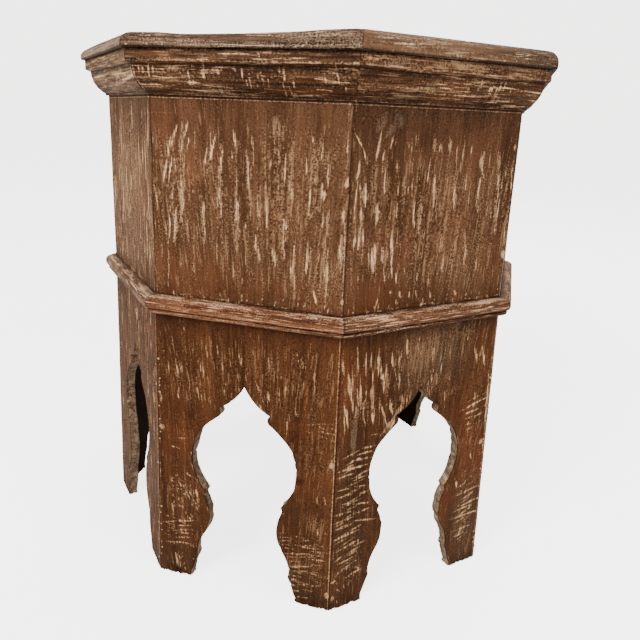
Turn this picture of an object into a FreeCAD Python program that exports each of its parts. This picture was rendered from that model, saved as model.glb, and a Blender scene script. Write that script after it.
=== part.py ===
import FreeCAD, Part

import math
import os

os.makedirs("parts", exist_ok=True)

# Overall sizes, in millimetres. Widths are measured across the flats of the octagon.
side_count = 8
total_height = 559.0
case_top_across = 455.0
case_joint_across = 461.5
foot_across = 478.5
joint_height = 312.5
board_thickness = 11.0

# Top: a mitred frame of rim boards round a field of tongued planks
top_overhang = 26.5
top_thickness = 16.0
rim_width = 70.0
nose_radius = 11.5
nose_foot_radius = 1.5
plank_count = 5
tongue_thickness = 5.0
tongue_depth = 7.0
tongue_gap = 1.0

# Cornice under the top
band_setback = 4.0
band_height = 10.0
quirk_depth = 5.2
quirk_slope = 2.2
quirk_height = 4.2
ovolo_height = 20.3
ovolo_mid_share = (0.31, 0.62)
lip_height = 2.0
lip_reach = 3.2

# Bead over the joint between the upper and lower boards
bead_height = 19.0
bead_reach = 11.6

# Arch cut in each lower board, its outline given as shares of these two
arch_height = 238.0
arch_half_width = 60.5

# Inside: corner blocks, battens under the planks and their screws
block_depth = 16.0
block_foot_height = 218.0
batten_width = 38.0
batten_thickness = 20.0
batten_spacing = 170.0
batten_end_gap = 3.0
screw_radius = 2.0
screw_length = 30.0
screw_head_radius = 4.2
screw_head_height = 2.6

# Far enough past any face for a cut to go right through
overrun = 5.0

# Sizes worked out from the ones above
half_turn = math.pi / side_count
side_turn = 360.0 / side_count
side_slope = math.tan(half_turn)
case_height = total_height - top_thickness
case_top_apothem = case_top_across / 2
joint_apothem = case_joint_across / 2
foot_apothem = foot_across / 2
top_apothem = case_top_apothem + top_overhang
field_apothem = top_apothem - rim_width
outermost = max(top_apothem, joint_apothem + bead_reach, foot_apothem) + overrun


def point(x, y, z):
    return FreeCAD.Vector(x, y, z)


def reach(apothem):
    """Distance from the axis to a corner of the octagon with this apothem."""
    return apothem / math.cos(half_turn)


def octagon(apothem, z):
    """Corners of a level octagon with flats towards -Y, +X, +Y and -X."""
    corners = []
    for index in range(side_count):
        turn = (2 * index + 1) * half_turn - math.pi / 2
        corners.append(point(reach(apothem) * math.cos(turn), reach(apothem) * math.sin(turn), z))
    return corners


def loop_face(corners):
    return Part.Face(Part.makePolygon(corners + corners[:1]))


def prismoid(low, high):
    """Solid between two level loops of corners, with a flat face on each side."""
    faces = [loop_face(low), loop_face(high)]
    for index in range(len(low)):
        after = (index + 1) % len(low)
        faces.append(loop_face([low[index], low[after], high[after], high[index]]))
    solid = Part.makeSolid(Part.makeShell(faces))
    if solid.Volume < 0:
        solid.reverse()
    return solid


def frustum(low_apothem, low_z, high_apothem, high_z):
    return prismoid(octagon(low_apothem, low_z), octagon(high_apothem, high_z))


def follow(start, moves):
    """Edges along a path: a move is an end point, or a middle and an end of an arc."""
    edges = []
    here = start
    for move in moves:
        end = move[-1]
        if len(move) == 1:
            edges.append(Part.LineSegment(here, end).toShape())
        else:
            edges.append(Part.Arc(here, move[0], end).toShape())
        here = end
    return edges


def drawn_face(start, moves):
    return Part.Face(Part.Wire(follow(start, moves + [(start,)])))


def front_sector():
    """The eighth of the table behind the front face, between its two mitre planes."""
    corners = [point(0, 0, -overrun), point(-outermost * side_slope, -outermost, -overrun)]
    corners.append(point(outermost * side_slope, -outermost, -overrun))
    return loop_face(corners).extrude(point(0, 0, total_height + 2 * overrun))


def mitred_length(profile):
    """A profile drawn on the YZ plane, run along the front and mitred at both ends."""
    run = 2 * outermost * side_slope
    length = profile.extrude(point(run, 0, 0))
    length.translate(point(-run / 2, 0, 0))
    return length.common(front_sector()).Solids[0]


def on_front(apothem, z):
    return point(0, -apothem, z)


def front_board(low_apothem, low_z, high_apothem, high_z):
    """Board on the front face, of the case's thickness, with both edges mitred."""
    loops = []
    for apothem, z in ((low_apothem, low_z), (high_apothem, high_z)):
        inner = apothem - board_thickness
        corners = [point(-apothem * side_slope, -apothem, z), point(apothem * side_slope, -apothem, z)]
        corners.append(point(inner * side_slope, -inner, z))
        corners.append(point(-inner * side_slope, -inner, z))
        loops.append(corners)
    return prismoid(loops[0], loops[1])


def case_solid(inset):
    """The case's outside as one solid, drawn in by the inset and open to any cut above or below."""
    foot_slope = (foot_apothem - joint_apothem) / joint_height
    low = foot_apothem - inset + foot_slope * overrun
    lower = frustum(low, -overrun, joint_apothem - inset, joint_height)
    upper = frustum(joint_apothem - inset, joint_height, case_top_apothem - inset, case_height)
    return lower.fuse(upper)


def upper_wall(z):
    """Distance from the axis to the outside of the upper boards at this height."""
    share = (z - joint_height) / (case_height - joint_height)
    return joint_apothem + share * (case_top_apothem - joint_apothem)


def rim_board():
    """Top frame board: rounded outer edge, and a groove for the planks' tongue."""
    low = case_height
    top = total_height
    face = top_apothem
    centre = point(0, -(face - nose_radius), top - nose_radius)
    nose_mid = centre + point(0, -nose_radius * math.sqrt(1 / 2), nose_radius * math.sqrt(1 / 2))
    foot_centre = point(0, -(face - nose_foot_radius), low + nose_foot_radius)
    foot_turn = nose_foot_radius * math.sqrt(1 / 2)
    foot_mid = foot_centre + point(0, -foot_turn, -foot_turn)
    groove_low = low + (top_thickness - tongue_thickness) / 2
    groove_high = groove_low + tongue_thickness
    groove_end = field_apothem + tongue_depth + tongue_gap
    moves = [
        (on_front(face - nose_foot_radius, low),),
        (foot_mid, on_front(face, low + nose_foot_radius)),
        (on_front(face, top - nose_radius),),
        (nose_mid, on_front(face - nose_radius, top)),
        (on_front(field_apothem, top),),
        (on_front(field_apothem, groove_high),),
        (on_front(groove_end, groove_high),),
        (on_front(groove_end, groove_low),),
        (on_front(field_apothem, groove_low),),
    ]
    return mitred_length(drawn_face(on_front(field_apothem, low), moves))


def cornice_length():
    """Band, quirk, ovolo and small lip, planted on the case and under the top."""
    band = top_apothem - band_setback
    quirk = band - quirk_depth
    band_low = case_height - band_height
    ovolo_top = band_low - quirk_height
    ovolo_low = ovolo_top - ovolo_height
    lip = upper_wall(ovolo_low) + lip_reach
    mid_out = quirk - (quirk - lip) * ovolo_mid_share[0]
    mid = on_front(mid_out, ovolo_top - ovolo_height * ovolo_mid_share[1])
    back = min(case_top_apothem, joint_apothem) - board_thickness
    moves = [
        (on_front(band, case_height),),
        (on_front(band, band_low),),
        (on_front(quirk, band_low - quirk_slope),),
        (on_front(quirk, ovolo_top),),
        (mid, on_front(lip, ovolo_low)),
        (on_front(lip, ovolo_low - lip_height),),
        (on_front(back, ovolo_low - lip_height),),
    ]
    return mitred_length(drawn_face(on_front(back, case_height), moves)).cut(case_solid(0)).Solids[0]


# Bead, from the wall at its top round to the wall at its foot, as shares of its reach and height:
# ledge, rounded nose, quirk and lower lip. Each step is the end of a line, or the middle and end of an arc.
bead_step_shares = [
    ((0.430, 0.060),),
    ((0.880, 0.190), (1.000, 0.400)),
    ((0.975, 0.570), (0.820, 0.680)),
    ((0.620, 0.700),),
    ((0.620, 0.750),),
    ((0.740, 0.860), (0.600, 0.965)),
    ((0.480, 1.000),),
    ((0.000, 1.000),),
]


def bead_length():
    """Mitred length of bead, with its back on both rows of boards."""
    top = joint_height + bead_height / 2
    back = joint_apothem - board_thickness
    moves = [(on_front(joint_apothem, top),)]
    for step in bead_step_shares:
        moves.append([on_front(joint_apothem + out * bead_reach, top - down * bead_height) for out, down in step])
    moves.append((on_front(back, top - bead_height),))
    return mitred_length(drawn_face(on_front(back, top), moves)).cut(case_solid(0)).Solids[0]


# Right half of the arch, from its point down to the foot: each step is the end of a line,
# or the middle and end of an arc, as shares of the half width and of the height.
arch_step_shares = [
    ((0.190, 0.932), (0.463, 0.887)),
    ((0.418, 0.868), (0.445, 0.847)),
    ((0.600, 0.815), (0.745, 0.780)),
    ((0.945, 0.640), (0.700, 0.470)),
    ((0.735, 0.448),),
    ((0.628, 0.345), (0.755, 0.243)),
    ((0.842, 0.200),),
    ((0.868, 0.165), (0.862, 0.128)),
    ((0.925, 0.085), (0.962, 0.055)),
    ((0.995, 0.030), (1.000, 0.000)),
]


def arch_side(sign):
    """Edges down one side of the arch, with the last one running on past the foot."""
    moves = []
    for step in arch_step_shares:
        moves.append([point(sign * across * arch_half_width, 0, up * arch_height) for across, up in step])
    end = moves[-1][-1] - point(0, 0, overrun)
    moves.append((end,))
    return follow(point(0, 0, arch_height), moves), end


def arch_cutter():
    right, right_end = arch_side(1)
    left, left_end = arch_side(-1)
    bottom = Part.LineSegment(right_end, left_end).toShape()
    outline = Part.Wire(Part.__sortEdges__(right + [bottom] + left))
    return Part.Face(outline).extrude(point(0, -outermost, 0))


def arch_board():
    board = front_board(foot_apothem, 0, joint_apothem, joint_height)
    return board.cut(arch_cutter()).Solids[0]


def upper_board():
    return front_board(joint_apothem, joint_height, case_top_apothem, case_height)


def block_face_distance():
    """From the axis to the flat inner face of a corner block."""
    return reach(case_top_apothem - board_thickness) - block_depth


def corner_block():
    """Three-sided block that fills the corner to the right of the front face."""
    side = reach(outermost)
    height = case_height - block_foot_height
    box = Part.makeBox(side, 2 * side, height, point(block_face_distance(), -side, block_foot_height))
    box.rotate(point(0, 0, 0), point(0, 0, 1), math.degrees(half_turn - math.pi / 2))
    return case_solid(board_thickness).common(box).Solids[0]


def octagon_slab(apothem, low, high):
    return frustum(apothem, low, apothem, high)


def planks():
    """The field planks: each has a tongue on one long edge, a groove on the other and tongued ends."""
    tongue_low = case_height + (top_thickness - tongue_thickness) / 2
    tongue_high = tongue_low + tongue_thickness
    field = octagon_slab(field_apothem, case_height, total_height)
    field = field.fuse(octagon_slab(field_apothem + tongue_depth, tongue_low, tongue_high))
    width = 2 * field_apothem / plank_count
    span = 2 * (field_apothem + tongue_depth)
    made = []
    for index in range(plank_count):
        low_edge = -field_apothem + index * width
        first = index == 0
        last = index == plank_count - 1
        start = low_edge - (tongue_depth if first else 0)
        end = low_edge + width + (tongue_depth if last else 0)
        body = Part.makeBox(span, end - start, top_thickness, point(-span / 2, start, case_height))
        if not last:
            tongue = Part.makeBox(span, tongue_depth, tongue_thickness, point(-span / 2, end, tongue_low))
            body = body.fuse(tongue)
        if not first:
            deep = tongue_depth + tongue_gap
            groove = Part.makeBox(span, deep, tongue_thickness, point(-span / 2, start, tongue_low))
            body = body.cut(groove)
        made.append(field.common(body).Solids[0])
    return made


def screw_at(x, y):
    """Countersunk screw driven up through a batten into a plank."""
    low = case_height - batten_thickness
    shank = Part.makeCylinder(screw_radius, screw_length, point(x, y, low))
    head = Part.makeCone(screw_head_radius, screw_radius, screw_head_height, point(x, y, low))
    return shank.fuse(head).removeSplitter().Solids[0]


def batten_screws():
    width = 2 * field_apothem / plank_count
    screws = []
    for side in (-1, 1):
        for index in range(plank_count):
            across = -field_apothem + (index + 1 / 2) * width
            limit = batten_half_length() - batten_width / 2
            across = max(-limit, min(limit, across))
            screws.append(screw_at(side * batten_spacing / 2, across))
    return Part.makeCompound(screws)


def batten_half_length():
    """Battens stop short of the corner blocks."""
    outer = (batten_spacing + batten_width) / 2
    clear = (block_face_distance() - outer * math.sin(half_turn)) / math.cos(half_turn)
    return clear - batten_end_gap


def batten(side):
    half = batten_half_length()
    start = point(side * batten_spacing / 2 - batten_width / 2, -half, case_height - batten_thickness)
    return Part.makeBox(batten_width, 2 * half, batten_thickness, start)


def save(shape, name):
    shape.exportStep("parts/" + name + ".step")
    print(name, len(shape.Solids), shape.isValid(), round(shape.Volume))


def save_round(shape, name):
    """One copy of the piece for each side of the table, counted from the front."""
    for index in range(side_count):
        copy = shape.copy()
        copy.rotate(point(0, 0, 0), point(0, 0, 1), side_turn * index)
        save(copy, name + "_" + str(index + 1))


save_round(rim_board(), "top_rim")
save_round(cornice_length(), "cornice")
save_round(upper_board(), "upper_board")
save_round(bead_length(), "bead")
save_round(arch_board(), "arch_board")
save_round(corner_block(), "corner_block")

screws = batten_screws()
for index, plank in enumerate(planks()):
    save(plank.cut(screws).Solids[0], "top_plank_" + str(index + 1))
for index, side in enumerate((-1, 1)):
    save(batten(side).cut(screws).Solids[0], "top_batten_" + str(index + 1))
save(screws, "batten_screws")
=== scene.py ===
import math

import bmesh
import bpy
import numpy as np
from mathutils import Matrix, Vector


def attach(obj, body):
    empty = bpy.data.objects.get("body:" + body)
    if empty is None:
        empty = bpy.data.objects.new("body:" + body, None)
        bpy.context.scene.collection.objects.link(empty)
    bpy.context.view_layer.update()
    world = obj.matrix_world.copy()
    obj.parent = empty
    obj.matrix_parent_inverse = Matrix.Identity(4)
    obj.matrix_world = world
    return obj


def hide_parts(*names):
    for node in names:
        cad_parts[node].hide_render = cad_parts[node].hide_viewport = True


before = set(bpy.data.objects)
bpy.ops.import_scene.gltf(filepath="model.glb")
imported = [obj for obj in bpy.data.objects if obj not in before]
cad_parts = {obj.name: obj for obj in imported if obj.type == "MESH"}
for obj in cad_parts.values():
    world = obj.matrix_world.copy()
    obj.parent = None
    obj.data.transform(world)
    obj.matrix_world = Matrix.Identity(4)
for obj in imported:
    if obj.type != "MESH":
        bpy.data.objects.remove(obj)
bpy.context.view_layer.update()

# Sizes of the table in millimetres, as in the part's source. Apothems run from the middle to a flat.
mm = 0.001
side_count = 8
total_height = 559.0
joint_height = 312.5
case_top_apothem = 227.5
joint_apothem = 230.75
foot_apothem = 239.25
board_thickness = 11.0
arch_height = 238.0
arch_half_width = 60.5

# Top
top_thickness = 16.0
top_apothem = 254.0
rim_width = 70.0
nose_radius = 11.5
nose_foot_radius = 1.5
plank_count = 5

# Mouldings
band_apothem = 250.0
band_height = 10.0
quirk_depth = 5.2
quirk_slope = 2.2
quirk_height = 4.2
ovolo_middle = (240.17, 516.21)
ovolo_foot = 508.5
lip_height = 2.0
lip_reach = 3.2
bead_top = 322.0
bead_height = 19.0
bead_reach = 11.6

# Worked out from the sizes above
side_turn = 2 * math.pi / side_count
side_slope = math.tan(side_turn / 2)
case_height = total_height - top_thickness
field_apothem = top_apothem - rim_width
plank_width = 2 * field_apothem / plank_count
band_foot = case_height - band_height
quirk_foot = band_foot - quirk_height
cornice_foot = ovolo_foot - lip_height
bead_foot = bead_top - bead_height

# How open the mitred joints stand, and how finely the near, seen and hidden faces are divided. The sides are
# numbered from the front one on round to its right, so that 8 is on its left.
mitre_gap = 0.2
plank_gap = 0.3
near_sides = (1, 2, 8)
near_step = 1.05
seen_step = 1.6
hidden_step = 12.0


def upper_wall(z):
    share = (z - joint_height) / (case_height - joint_height)
    return joint_apothem + share * (case_top_apothem - joint_apothem)


def lower_wall(z):
    return foot_apothem + z / joint_height * (joint_apothem - foot_apothem)


# Node trees

class Bench:
    """Short ways to add nodes to a material or a Geometry Nodes tree."""

    def __init__(self, tree):
        self.tree = tree

    def feed(self, made, inputs):
        """Links what comes from other nodes to a node's inputs, and sets the rest of the given inputs."""
        for key, given in inputs.items():
            if isinstance(given, bpy.types.NodeSocket):
                self.tree.links.new(given, made.inputs[key])
            else:
                made.inputs[key].default_value = given

    def node(self, kind, inputs, **settings):
        made = self.tree.nodes.new(kind)
        for name, setting in settings.items():
            setattr(made, name, setting)
        self.feed(made, inputs)
        return made

    def output(self, kind, inputs, **settings):
        """The first output of a new node."""
        return self.node(kind, inputs, **settings).outputs[0]

    def maths(self, operation, first, second=0.0, third=0.0):
        return self.output("ShaderNodeMath", {0: first, 1: second, 2: third}, operation=operation)

    def times(self, first, second):
        return self.maths("MULTIPLY", first, second)

    def add_share(self, first, share, second):
        """A share of the first value, added to the second."""
        return self.maths("MULTIPLY_ADD", first, share, second)

    def scaled(self, arrow, length):
        return self.output("ShaderNodeVectorMath", {0: arrow, "Scale": length}, operation="SCALE")

    def noise(self, place, scale, detail=2.0, roughness=0.5):
        inputs = {"Vector": place, "Scale": scale, "Detail": detail, "Roughness": roughness}
        return self.output("ShaderNodeTexNoise", inputs)

    def run(self, place, stretch, detail=2.0, roughness=0.5):
        """Noise drawn out along the grain: the stretch is its fineness along each axis."""
        drawn = self.output("ShaderNodeVectorMath", {0: place, 1: stretch}, operation="MULTIPLY")
        return self.noise(drawn, 1.0, detail, roughness)

    def ramp(self, value, low, high, to_low=0.0, to_high=1.0):
        inputs = {"Value": value, "From Min": low, "From Max": high, "To Min": to_low, "To Max": to_high}
        return self.output("ShaderNodeMapRange", inputs, interpolation_type="SMOOTHSTEP")

    def blend(self, share, first, second, way="MIX"):
        inputs = {0: share, 6: first, 7: second}
        return self.node("ShaderNodeMix", inputs, data_type="RGBA", blend_type=way).outputs[2]

    def darken(self, share, first, second):
        return self.blend(share, first, second, "MULTIPLY")

    def mark(self, name, output="Fac"):
        return self.node("ShaderNodeAttribute", {}, attribute_name=name).outputs[output]

    def named(self, name, kind):
        return self.output("GeometryNodeInputNamedAttribute", {"Name": name}, data_type=kind)

    def own_place(self):
        return self.node("ShaderNodeTexCoord", {}).outputs["Object"]


def tint(red, green, blue):
    """Linear colour of a shade given the way paint charts give it."""
    linear = []
    for level in (red, green, blue):
        level = level / 255
        linear.append(level / 12.92 if level <= 0.04045 else ((level + 0.055) / 1.055) ** 2.4)
    return (*linear, 1.0)


def new_tree(name, inputs):
    """An empty Geometry Nodes tree with a geometry passing through it, the named inputs and a material."""
    tree = bpy.data.node_groups.new(name, "GeometryNodeTree")
    tree.interface.new_socket("Geometry", in_out="INPUT", socket_type="NodeSocketGeometry")
    tree.interface.new_socket("Geometry", in_out="OUTPUT", socket_type="NodeSocketGeometry")
    for title, kind in {**inputs, "Material": "Material"}.items():
        tree.interface.new_socket(title, in_out="INPUT", socket_type="NodeSocket" + kind)
    bench = Bench(tree)
    return bench, bench.node("NodeGroupInput", {}).outputs


def end_tree(bench, geometry, material):
    joined = bench.output("GeometryNodeRealizeInstances", {"Geometry": geometry})
    finished = bench.output("GeometryNodeSetMaterial", {"Geometry": joined, "Material": material})
    bench.node("NodeGroupOutput", {0: finished})
    return bench.tree


def placed(name, data):
    """A new object of this name, linked to the scene."""
    thing = bpy.data.objects.new(name, data)
    bpy.context.scene.collection.objects.link(thing)
    return thing


def grown(mesh, tree, material, values):
    """The plain mesh that a tree makes of a mesh, with the tree's named inputs set."""
    thing = placed("grown", mesh)
    modifier = thing.modifiers.new("grown", "NODES")
    modifier.node_group = tree
    values = {**values, "Material": material}
    for item in tree.interface.items_tree:
        if item.in_out == "INPUT" and item.name in values:
            modifier[item.identifier] = values[item.name]
    evaluated = thing.evaluated_get(bpy.context.evaluated_depsgraph_get())
    result = bpy.data.meshes.new_from_object(evaluated)
    bpy.data.objects.remove(thing)
    return result


def mitred_length_tree():
    """Runs a profile along one side of the octagon and mitres both ends."""
    bench, given = new_tree("mitred_length", {
        "Sections": "Int", "Corner slope": "Float", "Joint gap": "Float", "End crowding": "Float",
    })
    profile = bench.output("GeometryNodeMeshToCurve", {"Mesh": given["Geometry"]})
    line = bench.output("GeometryNodeCurvePrimitiveLine", {"Start": (-1, 0, 0), "End": (1, 0, 0)})
    sections = bench.output("GeometryNodeResampleCurve", {"Curve": line, "Count": given["Sections"]})
    swept = {"Curve": sections, "Profile Curve": profile, "Fill Caps": True}
    length = bench.output("GeometryNodeCurveToMesh", swept)
    place = bench.output("GeometryNodeInputPosition", {})
    along, inward, height = bench.node("ShaderNodeSeparateXYZ", {0: place}).outputs
    half = bench.times(bench.times(inward, given["Corner slope"]), -1.0)
    half = bench.maths("SUBTRACT", half, given["Joint gap"])
    wave = bench.maths("SINE", bench.times(along, math.pi))
    crowded = bench.add_share(wave, bench.maths("DIVIDE", given["End crowding"], math.pi), along)
    across = bench.times(crowded, half)
    mitred = bench.output("ShaderNodeCombineXYZ", {0: across, 1: inward, 2: height})
    moved = bench.output("GeometryNodeSetPosition", {"Geometry": length, "Position": mitred})
    return end_tree(bench, moved, given["Material"])


def weathering_tree():
    """Moves the seen faces a little: slow waves, raised grain, and scrapes pressed in."""
    bench, given = new_tree("weathering", {
        "Grain run": "Vector", "Wave depth": "Float", "Grain depth": "Float", "Scrape depth": "Float",
    })
    place = bench.named("place", "FLOAT_VECTOR")
    waves = bench.maths("SUBTRACT", bench.noise(place, 14.0), 0.5)
    grain = bench.maths("SUBTRACT", bench.run(place, given["Grain run"]), 0.5)
    scraped = bench.ramp(bench.named("scrape", "FLOAT"), 0.35, 0.75)
    depth = bench.add_share(grain, given["Grain depth"], bench.times(waves, given["Wave depth"]))
    depth = bench.maths("SUBTRACT", depth, bench.times(scraped, given["Scrape depth"]))
    depth = bench.times(depth, bench.named("shown", "FLOAT"))
    offset = bench.scaled(bench.output("GeometryNodeInputNormal", {}), depth)
    moved = bench.node("GeometryNodeSetPosition", {"Geometry": given["Geometry"], "Offset": offset})
    return end_tree(bench, moved.outputs[0], given["Material"])


mitred_length = mitred_length_tree()
weathering = weathering_tree()


# Finishes

def new_finish(name):
    """A new material, the bench for its nodes, and its shader."""
    material = bpy.data.materials.new(name)
    material.use_nodes = True
    return material, Bench(material.node_tree), material.node_tree.nodes["Principled BSDF"]


def aged_wood(name, run, tones, lime, dashes=0.6, flecks=0.6, dark_bands=0.5, dark_lines=0.5, sheen=0.12,
              fineness=430.0, brush=0.59, fresh=(84, 45, 23)):
    """Stained wood rubbed with lime: blotches, grain, dashes, scrapes, worn arrises and a painted highlight,
    smudges and painted sheen, and grime and painted shade.

    The run is how drawn out the grain is along each axis of the piece, and the tones go from dark to light.
    """
    material, bench, shader = new_finish(name)
    place = bench.mark("place", "Vector")
    flow = bench.mark("flow", "Vector")

    def finer(share):
        return tuple(value * share for value in run)

    broad = bench.noise(place, 13.0, 4.0, 0.6)
    cloud = bench.run(place, finer(0.16), 5.0, 0.68)
    bands = bench.run(flow, finer(0.42), 2.0, 0.5)
    grain = bench.run(place, run, 4.0, 0.65)
    fibre = bench.run(flow, finer(2.6), 2.0, 0.6)
    lines = bench.run(flow, finer(1.15), 3.0, 0.62)
    cluster = bench.run(flow, tuple(value * 0.5 + 7.0 for value in run), 2.0, 0.55)
    dash = bench.run(flow, tuple(min(value * 4.0, fineness) for value in run), 2.0, 0.6)
    speckle = bench.noise(place, 580.0, 3.0, 0.75)
    dust = bench.noise(place, 1300.0, 2.0, 0.6)

    # Stain and its darker grain
    dark, middle, warm, light = (tint(*tone) for tone in tones)
    colour = bench.blend(bench.ramp(cloud, 0.36, 0.64), dark, middle)
    colour = bench.blend(bench.ramp(broad, 0.48, 0.72, to_high=0.75), colour, warm)
    colour = bench.blend(bench.ramp(grain, 0.50, 0.80, to_high=0.6), colour, light)
    for veins, low, high, strength, shade in (
        (bands, 0.48, 0.34, dark_bands, (122, 90, 62)),
        (dash, 0.44, 0.32, dark_lines, (118, 85, 57)),
        (fibre, 0.56, 0.74, dark_lines, (112, 79, 51)),
        (speckle, 0.48, 0.34, 0.9, (114, 77, 48)),
    ):
        colour = bench.darken(bench.ramp(veins, low, high, to_high=strength), colour, tint(*shade))
    colour = bench.blend(bench.times(bench.mark("fresh"), bench.ramp(grain, 0.3, 0.6)), colour, tint(*fresh))
    # Soot, and painted shade over the backs of the boards inside the case
    colour = bench.blend(bench.mark("soot"), colour, tint(40, 28, 16))

    # Lime brushed along the grain, in dashes and flecks; over the left side it is partly painted sheen
    lime_dull, lime_bright = (tint(*tone) for tone in lime)
    cluster = bench.times(bench.ramp(cluster, 0.42, 0.64), bench.mark("streak"))
    rubbed = bench.maths("MAXIMUM", bench.mark("haze"), cluster)
    brushed = bench.add_share(dash, 0.8, bench.times(speckle, 0.2))
    brushed = bench.add_share(rubbed, 0.11, brushed)
    colour = bench.blend(bench.ramp(brushed, brush, brush + 0.11, to_high=dashes), colour, lime_dull)
    fine = bench.add_share(lines, 0.35, bench.times(speckle, 0.65))
    fine = bench.add_share(rubbed, 0.14, fine)
    colour = bench.blend(bench.ramp(fine, 0.585, 0.69, to_high=flecks), colour, lime_dull)

    # Scrapes, worn arrises, one of them partly a painted highlight, and grey smudges, partly painted sheen
    frayed = bench.add_share(fibre, 1.4, bench.add_share(speckle, 0.9, -1.15))
    frayed = bench.add_share(bench.mark("scrape"), 0.82, frayed)
    scrapes = bench.times(bench.ramp(frayed, 0.34, 0.56), bench.ramp(frayed, 0.5, 0.95, 0.7, 0.95))
    pale = bench.blend(bench.ramp(frayed, 0.45, 0.85), lime_dull, lime_bright)
    colour = bench.blend(scrapes, colour, pale)
    worn = bench.maths("ADD", bench.mark("worn"), bench.add_share(speckle, 1.3, -0.78))
    worn = bench.ramp(worn, 0.30, 0.75, to_high=0.8)
    colour = bench.blend(worn, colour, bench.blend(bench.ramp(dust, 0.4, 0.62), lime_dull, lime_bright))
    dusty = bench.add_share(lines, 0.4, bench.times(speckle, 0.6))
    smudge = bench.times(bench.mark("smudge"), bench.ramp(dusty, 0.40, 0.60, 0.2, 1.3))
    colour = bench.blend(smudge, colour, tint(126, 107, 84))

    # Sawn faces, and grime and painted shade over all
    blots = bench.ramp(bench.noise(place, 130.0, 4.0, 0.7), 0.40, 0.60)
    raw = bench.blend(blots, tint(146, 120, 92), tint(208, 184, 154))
    raw = bench.darken(bench.ramp(speckle, 0.5, 0.35, to_high=0.5), raw, tint(140, 112, 86))
    colour = bench.blend(bench.times(bench.mark("cut"), 0.9), colour, raw)
    grime = bench.times(bench.mark("grime"), bench.ramp(speckle, 0.3, 0.65, 1.0, 0.75))
    colour = bench.darken(grime, colour, tint(76, 48, 28))

    chalky = bench.maths("MAXIMUM", scrapes, worn)
    height = bench.add_share(grain, 0.5, bench.times(fibre, -0.4))
    height = bench.add_share(speckle, 0.9, height)
    height = bench.add_share(chalky, -0.5, height)
    bump = bench.output("ShaderNodeBump", {"Height": height, "Strength": 0.6, "Distance": 0.0007})
    bench.feed(shader, {
        "Base Color": colour, "Roughness": bench.ramp(chalky, 0.0, 1.0, 0.6, 0.9),
        "Specular IOR Level": sheen, "Normal": bump,
    })
    return material


upright = (330.0, 330.0, 11.0)
lengthwise = (11.0, 330.0, 330.0)
lime_shades = ((142, 109, 79), (211, 172, 135))
upper_wood = aged_wood(
    "upper_wood", upright, ((61, 36, 16), (85, 56, 35), (97, 60, 38), (114, 83, 59)), lime_shades,
    dashes=0.45, flecks=0.66, dark_bands=0.2, dark_lines=0.3, sheen=0.07)
arch_wood = aged_wood(
    "arch_wood", upright, ((56, 29, 11), (74, 43, 21), (88, 46, 24), (96, 63, 37)),
    ((122, 90, 61), (197, 159, 121)), dashes=0.5, flecks=0.4, dark_bands=0.3, dark_lines=0.35, sheen=0.05,
    fresh=(76, 43, 20))
cornice_wood = aged_wood(
    "moulding_wood", lengthwise, ((56, 30, 9), (79, 51, 30), (94, 56, 32), (108, 80, 56)), lime_shades,
    dashes=0.8, sheen=0.08, fineness=680.0)
top_wood = aged_wood(
    "top_wood", lengthwise, ((52, 36, 22), (82, 60, 43), (104, 72, 50), (130, 105, 82)),
    ((144, 119, 95), (222, 192, 158)), dashes=0.85, flecks=0.8, sheen=0.08, fineness=600.0,
    fresh=(112, 78, 52))
plank_wood = aged_wood(
    "plank_wood", lengthwise, ((58, 38, 24), (86, 57, 36), (108, 66, 38), (120, 88, 60)), lime_shades)
bead_wood = aged_wood(
    "bead_wood", lengthwise, ((80, 44, 22), (120, 77, 50), (140, 89, 58), (174, 130, 97)),
    ((196, 153, 118), (254, 216, 176)), dashes=0.8, sheen=0.07, fineness=1000.0, brush=0.55)


def inner_wood_finish():
    """Unfinished wood inside the case, with saw marks across its grain."""
    material, bench, shader = new_finish("inner_wood")
    place = bench.own_place()
    grain = bench.run(place, (260.0, 260.0, 7.0), 4.0, 0.6)
    saw = bench.run(place, (14.0, 14.0, 420.0), 2.0, 0.6)
    broad = bench.noise(place, 12.0, 3.0)
    colour = bench.blend(bench.ramp(broad, 0.3, 0.7), tint(92, 68, 48), tint(124, 96, 70))
    colour = bench.blend(bench.ramp(grain, 0.35, 0.75), colour, tint(146, 118, 88))
    colour = bench.darken(bench.ramp(saw, 0.5, 0.75, to_high=0.4), colour, tint(120, 96, 74))
    height = bench.add_share(grain, 0.5, saw)
    bump = bench.output("ShaderNodeBump", {"Height": height, "Strength": 0.5, "Distance": 0.0006})
    bench.feed(shader, {"Base Color": colour, "Roughness": 0.8, "Specular IOR Level": 0.25, "Normal": bump})
    return material


def steel_finish():
    """Dull plated screw steel with a few rust spots."""
    material, bench, shader = new_finish("screw_steel")
    rust = bench.ramp(bench.noise(bench.own_place(), 420.0, 3.0), 0.5, 0.68)
    bench.feed(shader, {
        "Base Color": bench.blend(rust, tint(150, 146, 136), tint(96, 58, 34)),
        "Roughness": bench.ramp(rust, 0.0, 1.0, 0.38, 0.85), "Metallic": 0.85,
    })
    return material


inner_wood = inner_wood_finish()
screw_steel = steel_finish()


# Wear worked out at each point of a piece

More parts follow.
